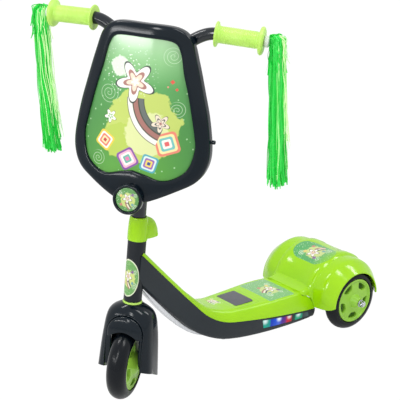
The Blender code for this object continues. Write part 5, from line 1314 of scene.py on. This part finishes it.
class SCOOTER_OT_streamers(bpy.types.Operator):
    """Hang a bundle of flat film ribbons from each grip's plug"""

    bl_idname = "scooter.streamers"
    bl_label = "Streamers"

    CENTRE = 0.0118  # how far out of the plug the bundle hangs

    def execute(self, context):
        values = context.scene.scooter_streamers
        for side, word in SIDES:
            self.bundle(values, side, word, random.Random(values.seed + side))
        return {"FINISHED"}

    def line(self, chance, values, side, loose, short):
        """One ribbon's middle line in the frame of its hinge, and its shade."""
        turn = chance.uniform(0, 2 * pi)
        out = sqrt(chance.random())
        rise = 0.0112 * (1.0 - 0.5 * out * abs(sin(turn)))  # it goes over the plug before it falls
        reach = values.length * (1.0 - 0.16 * chance.random() ** 1.6)
        spread = chance.uniform(1.0, 1.45)
        half = 0.0112 * out
        bow = 0.0 if short else (0.010 if side < 0 else 0.003)
        if loose:
            turn = chance.gauss(0.0 if side > 0 else pi, 0.9)
            out, half, spread = 1.0, 0.0116, chance.uniform(1.2, 1.6)
            reach *= chance.uniform(0.62, 1.0)
        if short:
            reach = values.length * chance.uniform(0.05, 0.22)
            half, rise = 0.0125 * out, 0.0116 * chance.uniform(0.55, 1.0)
        knot = Vector((side * 0.0006, 0.0022 * cos(turn) * out, 0.0022 * sin(turn) * out))
        points = [knot, Vector((side * (0.004 + 0.003 * out), knot.y * 1.6, rise * 0.75))]
        wave = [chance.uniform(-1, 1) for _ in range(8)]
        x, y = side * (self.CENTRE + half * cos(turn)), half * 0.9 * sin(turn)
        points.append(Vector((x * 0.72, y * 0.6, rise)))
        sweep = 0.0016 if loose else 0.0012
        for i in range(10):
            t = (i + 0.6) / 9.6
            grow = 1.0 + (spread - 1.0) * t
            sway = sweep * (wave[0] * sin(7 * t + 3 * wave[1]) + wave[2] * sin(15 * t + 6 * wave[3]))
            fray = 0.0035 * max(0.0, t - 0.75) * 4
            points.append(Vector((
                side * (self.CENTRE + half * cos(turn) * grow) + sway + bow * t * t + fray * wave[6],
                y * grow + sweep * wave[4] * sin(9 * t + 5 * wave[5]) + fray * wave[7],
                rise - (rise + reach) * t,
            )))
        shade = min(0.8, max(0.0, chance.gauss(0.30 + 0.18 * out ** 3, 0.14)))
        if loose or chance.random() < 0.03:
            shade = chance.uniform(0.82, 1.0)
        return points, shade

    def bundle(self, values, side, word, chance):
        """Strips of film that mostly face outwards from the middle of the bundle."""
        bm = bmesh.new()
        layer = bm.verts.layers.float.new("shade")
        centre = Vector((side * self.CENTRE, 0.0, 0.0))
        for k in range(values.ribbons):
            loose = k % 12 == 0  # every twelfth ribbon strays, and every fifth is a short one on top
            points, shade = self.line(chance, values, side, loose, k % 5 == 1)
            points = [Vector(p) for p in smooth_rows([tuple(p) for p in points], 3)]
            turn, twist = chance.gauss(0.0, 0.45), chance.gauss(0.0, 0.5)
            half = values.width * (0.22 if loose else 0.5) * chance.uniform(0.7, 1.3)
            pair = None
            for i, p in enumerate(points):
                way = heading(points, i)
                out = p - centre
                out.z = max(0.0, p.z) * 2
                across = way.cross(out)
                across = across.normalized() if across.length > 1e-9 else Vector((0, 1, 0))
                across.rotate(Quaternion(way, turn + twist * i / len(points)))
                size = half * min(1.0, 0.45 + 0.2 * i)
                new = [bm.verts.new(p + across * size), bm.verts.new(p - across * size)]
                for v in new:
                    v[layer] = shade
                if pair:
                    bm.faces.new((pair[0], pair[1], new[1], new[0]))
                pair = new
        mesh = bpy.data.meshes.new("streamer_film_" + word)
        bm.to_mesh(mesh)
        bm.free()
        piece = bpy.data.objects.new("streamer_film_" + word, mesh)
        bpy.context.scene.collection.objects.link(piece)
        joint = next(j for j in RECORD["behaviour"]["joints"] if j["name"] == "streamer_%s_swing" % word)
        turn = Matrix.Rotation(atan2(joint["axis"][1], joint["axis"][0]), 4, "Z")
        settle(piece, Matrix.Translation(joint["pos_m"]) @ turn)
        bpy.ops.object.shade_smooth()
        hang(piece, "streamer_" + word)


class SCOOTER_OT_shield(bpy.types.Operator):
    """Draw the shield's rounded border, its printed panel, back and brackets, and the badge"""

    bl_idname = "scooter.shield"
    bl_label = "Shield"

    def execute(self, context):
        self.border()
        self.panel()
        dressed("shield_back", 0.0003)
        for node in ("shield_bracket_upper", "shield_bracket_lower"):
            dressed(node, 0.0008)
        dressed("side_stud", 0.0006)
        self.badge()
        return {"FINISHED"}

    def border(self):
        """Bowed border with a crowned face and rolled edges."""
        front, plate, depth, wall = -0.0015, 0.0060, 0.015, 0.0025
        rows = (
            (PANEL_OUTLINE, plate), (PANEL_OUTLINE, front + 0.0022), (PANEL_OUTLINE, front + 0.0008, -0.0007),
            (PANEL_OUTLINE, front + 0.0001, -0.0022), (PANEL_OUTLINE, front, 0.0, SHIELD_OUTLINE, 0.30),
            (PANEL_OUTLINE, front, 0.0, SHIELD_OUTLINE, 0.65), (SHIELD_OUTLINE, front + 0.0002, 0.0040),
            (SHIELD_OUTLINE, front + 0.0013, 0.0015), (SHIELD_OUTLINE, front + 0.0030, 0.0004),
            (SHIELD_OUTLINE, front + 0.0050), (SHIELD_OUTLINE, depth), (SHIELD_OUTLINE, depth, wall),
            (SHIELD_OUTLINE, plate, wall),
        )
        place(ringed("shield_border", [shield_loop(*row) for row in rows], wrap=True), STEER, "shield_frame")

    def panel(self):
        """Printed panel on the same bowed face, drawn in rings towards its middle and back again."""
        middle, front, back = 0.49, 0.0030, 0.0060
        shares = (1.0, 0.97, 0.90, 0.78, 0.62, 0.44, 0.26, 0.10, 0.02)
        edge = shield_loop(PANEL_OUTLINE, front, 0.0003)
        shell = []
        for depth, order in ((back, shares[::-1]), (front, shares)):
            for share in order:
                ring = [(x * share, middle + (z - middle) * share) for x, _, z in edge]
                shell.append([(x, shield_depth(x, z) + depth, z) for x, z in ring])
        place(ringed("shield_print", shell), STEER, "shield_panel")

    def badge(self):
        """Round holder with a rolled rim, and the printed disc in it."""
        lean = Matrix.Rotation(-atan2(SHIELD_LEAN, 1.0), 4, "X") @ Matrix.Rotation(-pi / 2, 4, "Z")
        height = 0.3505
        where = STEER @ (Matrix.Translation((0, shield_depth(0, height) - 0.00195, height)) @ lean)
        depth, lip, radius = 0.0115, 0.0183, 0.0235
        face = depth * 0.60
        corners = [(0, 0), (0, radius), (depth * 0.75, radius), (depth * 0.95, radius - 0.0012),
                   (depth, radius - 0.0028), (depth * 0.9, lip + 0.001), (depth * 0.72, lip + 0.0003),
                   (face, lip + 0.0003), (face, 0)]
        place(turned("badge_holder", rounded(corners, 0.0012), 96), where, "medallion_bezel")
        face += 0.0003
        disc = [(face, 0), (face, lip), (face + 0.0010, lip), (face + 0.0014, lip - 0.0006),
                (face + 0.0018, lip * 0.6), (face + 0.002, 0)]
        place(turned("badge_disc", rounded(disc, 0.0004), 96), where, "medallion_disc", finish=badge_print())


class SCOOTER_OT_deck(bpy.types.Operator):
    """Finish the deck's cover and lower shell, the foot switch, the door and the lit strips"""

    bl_idname = "scooter.deck"
    bl_label = "Deck"

    def execute(self, context):
        dressed("deck_cover", 0.0008, 30, lime_abs("deck_cover_abs", deck_marks, 0.26))
        dressed("deck_lower_shell", 0.0008, 30)
        dressed("battery_door", 0.0004)
        dressed("foot_pad", 0.0006)
        for word in ("left", "right"):
            dressed("led_lens_" + word, 0.0004)
        self.screws()
        return {"FINISHED"}

    def screws(self):
        """Cross-headed screws that hold the lower shell and the battery door."""
        door = [v.co for v in cad_mesh("battery_door").vertices]
        low, high = min(v.y for v in door), max(v.y for v in door)
        middle = (min(v.x for v in door) + max(v.x for v in door)) / 2
        places = [("battery_door", middle, low + 0.006), ("battery_door", middle, high - 0.006)]
        places += [("deck_lower_shell", x, y) for y in (-0.045, 0.005, 0.112) for x in (-0.034, 0.034)]
        radius, tall, long, wide = 0.0030, 0.0008, 0.0017, 0.0004
        profile = [(-0.0006, 0.0), (-0.0006, radius), (tall * 0.6, radius), (tall, radius * 0.7), (tall, 0.0)]
        for count, (node, x, y) in enumerate(places):
            mesh = cad_mesh(node)
            skin = BVHTree.FromPolygons([v.co for v in mesh.vertices], [f.vertices for f in mesh.polygons])
            spot, normal, _, _ = skin.ray_cast(Vector((x, y, -0.05)), Vector((0, 0, 1)))
            head = turned("underside_screw_%d" % count, rounded(profile, 0.0002), 32)
            for a, b in ((long, wide), (wide, long)):
                slot = [(-a, -b), (a, -b), (a, b), (-a, b)]
                cut(head, ringed("tool", [[(x, *corner) for corner in slot] for x in (tall - 0.0006, tall + 0.001)]))
            turn = normal.to_track_quat("X", "Z").to_matrix().to_4x4()
            add_to(soften(settle(head, Matrix.Translation(spot) @ turn), 0.0, 40), "rear_nut_left")


class SCOOTER_OT_housing(bpy.types.Operator):
    """Turn the rear housing with its two covers and ramp, and the dark lip inside its seam that stands in for the
    shade there
    """

    bl_idname = "scooter.housing"
    bl_label = "Rear housing"

    BOTTOM, WALL, WELL = 0.0505, 0.0025, 0.0585
    # x from the wheel's middle, step from the barrel's radius
    BARREL = ((-0.0483, 0.0000), (-0.0448, 0.0012), (-0.0328, 0.0012), (-0.0293, -0.0006))
    # x from the wheel's middle, radius above and behind, radius in front
    COVER = (
        (-0.0273, 0.0722, 0.0662), (-0.0163, 0.0720, 0.0640), (-0.0083, 0.0714, 0.0622), (-0.0023, 0.0690, 0.0606),
        (0.0037, 0.0648, 0.0590), (0.0102, 0.0595, 0.0566), (0.0167, 0.0542, 0.0542),
    )
    # lower edge: x from the wheel's middle, height over the bottom
    LIFT = ((0.0637, 0.03), (0.0177, 0.0075), (0.0097, 0.003), (0.0007, 0.0006), (-0.0063, 0.0))
    # seam to the deck: y, z from the top down
    SEAM = ((0.1285, 0.18), (0.1285, 0.0800), (0.1350, 0.0757), (0.1420, 0.0742), (0.1480, 0.0695), (0.1525, 0.0610),
            (0.1537, 0.0530), (0.1537, 0.0))

    def execute(self, context):
        self.size = context.scene.scooter_wheels
        self.rows = smooth_rows(self.COVER, 4)
        piece = self.round_axle("rear_housing_moulding", self.outside)
        cut(piece, self.ramp(0.0), "UNION")
        cut(piece, self.ramp(self.WALL))
        cut(piece, self.round_axle("tool", self.hollow))
        for side, _ in SIDES:
            cut(piece, self.round_axle("tool", self.well, side))
        lift = [(self.size.track_half + x, self.BOTTOM + z) for x, z in self.LIFT]
        edge = [(-lift[0][0], -0.05), (lift[0][0], -0.05)] + lift + flipped(lift)
        cut(piece, ringed("tool", [[(x, y, z) for x, z in edge] for y in (0.0, 0.4)]))
        cut(piece, self.round_axle("tool", lambda a: [(-0.2, 0.0043), (0.2, 0.0043)]))
        gap = 0.0006
        behind = [(y + gap, z + (gap if 0 < z < 0.1 else 0)) for y, z in self.SEAM] + [(0.33, 0.0), (0.33, 0.18)]
        cut(piece, slab(behind, 0.2), "INTERSECT")
        hang(soften(piece, 0.0008, 33, 3), "rear_housing", lime_abs("rear_housing_abs", barrel_marks))
        self.lip()
        return {"FINISHED"}

    def hollow(self, angle):
        """Outline of the open room between the wells."""
        reach = self.WELL - self.WALL
        radius = min(0.0720, self.cover(angle)[4][1]) - self.WALL - 0.001
        return [(-reach, radius), (reach, radius)]

    def cover(self, angle):
        """Outer (x, radius) points of one wheel cover at an angle round the axle."""
        start = radians(148)
        share = min(max((angle - start) / (pi - start), 0.0), 1.0) if angle < 1.5 * pi else 0.0
        share *= share * (3 - 2 * share)
        return [(self.size.track_half + x, top + (front - top) * share) for x, top, front in self.rows]

    def outside(self, angle):
        """Outer outline of barrel and covers, from the right lip to the left one."""
        half = [(self.size.track_half + x, BARREL_R + step) for x, step in self.BARREL] + self.cover(angle)
        return flipped(half) + half

    def well(self, angle):
        """Outline of the room for one wheel: the cover's, set in by the wall."""
        points = self.cover(angle)
        inner = [(self.WELL, points[4][1] - self.WALL - 0.0015)]
        for before, here, after in zip(points[3:], points[4:], points[5:]):
            way = Vector((after[0] - before[0], after[1] - before[1])).normalized()
            if here[0] > self.WELL + 0.002:
                inner.append((here[0] + way.y * 0.002, here[1] - way.x * 0.002))
        reach = points[-1][0]
        return inner + [(reach - self.WALL, 0.0523), (reach + 0.01, 0.0523)]

    def round_axle(self, name, outline, side=1):
        """Solid round the rear axle, whose outline may change with the angle."""
        turns = round_turn(120)
        rows = [outline(a) for a in turns]
        y, z = self.size.axle_y, self.size.rear_radius
        return ringed(name, [
            [(side * row[j][0], y + row[j][1] * cos(a), z + row[j][1] * sin(a)) for a, row in zip(turns, rows)]
            for j in range(len(rows[0]))
        ])

    def ramp(self, inset, steps=14):
        """Ramp from the seam up to the barrel, with sloping sides and rounded edges."""
        start, meet = Vector((0.1285, 0.0849)), Vector((0.1718, 0.1133))
        run, rise = meet.x - start.x, meet.y - start.y
        knee = Vector((start.x + run * 0.78, start.y + 0.001))
        over = Vector((meet.x - run * 0.10, meet.y - rise * 0.55))
        loops = []
        for i in range(-1, steps + 2):
            t = min(max(i / steps, 0.0), 1.0)
            p = cubic(t, start, knee, over, meet)
            if i < 0:
                p.x -= 0.03
            if i > steps:
                p = Vector((self.size.axle_y, self.size.rear_radius + BARREL_R * 0.7))
            low, corner = 0.0537 - inset, Vector((0.0425 + 0.0045 * t - inset, p.y - inset))
            one = corner + (Vector((low, self.BOTTOM)) - corner).normalized() * 0.007
            two = corner + Vector((-0.007, 0.0))
            half = [(low, -0.01), (low, self.BOTTOM)]
            half += [tuple(quadratic(k / 6, one, corner, two)) for k in range(7)]
            loops.append([(x, p.x, z) for x, z in half + flipped(half)])
        return ringed("tool", loops)

    def lip(self):
        """Dark lip inside the seam between deck and housing, a short way in from the deck's skin: a dark wall that
        stands in for the shade down in the seam.
        """
        before, after = 0.127, 0.1505
        rings = [self.skin(before - 0.009, before + 0.009), self.skin(after - 0.0065, after + 0.0065)]
        loops = []
        for y, inset in ((0.0, 0.0034), (0.158, 0.0034), (0.158, 0.0050), (0.0, 0.0050)):
            loop = []
            for (middle, way, near), (other, _, far) in zip(*rings):
                z = middle.y + way.y * near
                at = y or (0.1240 if z > 0.056 else 0.1425)  # the front edge steps back under the deck's edge
                share = (at - before) / (after - before)
                spot = middle.lerp(other, share) + way * (near + (far - near) * share - inset)
                loop.append((spot.x, at, spot.y))
            loops.append(loop)
        piece = soften(ringed("rear_seam_lip", loops, wrap=True), 0.0, 40)
        add_to(piece, "deck_lower_shell")

    def skin(self, low, high):
        """Reach of the deck's skin round its middle, between two places along it."""
        spots = [Vector((v.co.x, v.co.z)) for node in ("deck_cover", "deck_lower_shell")
                 for v in cad_mesh(node).vertices if low < v.co.y < high]
        hull = [spots[i] for i in convex_hull_2d(spots)]
        middle = Vector((0.0, sum(p.y for p in hull) / len(hull)))
        ring = []
        for a in round_turn(72):
            way = Vector((cos(a), sin(a)))
            met = [intersect_line_line_2d(middle, middle + way * 0.3, one, two)
                   for one, two in zip(hull, hull[1:] + hull[:1])]
            ring.append((middle, way, max((spot - middle).length for spot in met if spot)))
        return ring


class SCOOTER_OT_inside(bpy.types.Operator):
    """Finish the pieces inside: frame tube, switch tray, spring, boards, speaker and battery"""

    bl_idname = "scooter.inside"
    bl_label = "Inner pieces"

    def execute(self, context):
        for node in ("frame_tube", "battery_case", "battery_cell_1", "battery_cell_2", "speaker", "sound_board",
                     "switch_carrier", "led_board_left", "led_board_right"):
            dressed(node, 0.0002)
        dressed("pad_spring", 0.0)
        return {"FINISHED"}


OPERATORS = (
    SCOOTER_OT_stage, SCOOTER_OT_front_wheel, SCOOTER_OT_rear_wheels, SCOOTER_OT_fork, SCOOTER_OT_head,
    SCOOTER_OT_handlebar, SCOOTER_OT_streamers, SCOOTER_OT_shield, SCOOTER_OT_deck, SCOOTER_OT_housing,
    SCOOTER_OT_inside,
)


class SCOOTER_PT_panel(bpy.types.Panel):
    """Lists the scooter's operators and settings"""

    bl_label = "Scooter"
    bl_space_type = "VIEW_3D"
    bl_region_type = "UI"
    bl_category = "Scooter"

    def draw(self, context):
        for kind in OPERATORS:
            self.layout.operator(kind.bl_idname)
        for name, kind in GROUPS.items():
            box = self.layout.box()
            box.label(text=kind.__doc__)
            for key in kind.__annotations__:
                box.prop(getattr(context.scene, name), key)


CLASSES = tuple(GROUPS.values()) + OPERATORS + (SCOOTER_PT_panel,)


def register():
    for kind in CLASSES:
        bpy.utils.register_class(kind)
    for name, kind in GROUPS.items():
        setattr(bpy.types.Scene, name, PointerProperty(type=kind))


def unregister():
    for name in GROUPS:
        delattr(bpy.types.Scene, name)
    for kind in reversed(CLASSES):
        bpy.utils.unregister_class(kind)


def main():
    register()
    for kind in OPERATORS:
        group, name = kind.bl_idname.split(".")
        getattr(getattr(bpy.ops, group), name)()


if __name__ == "__main__":
    main()
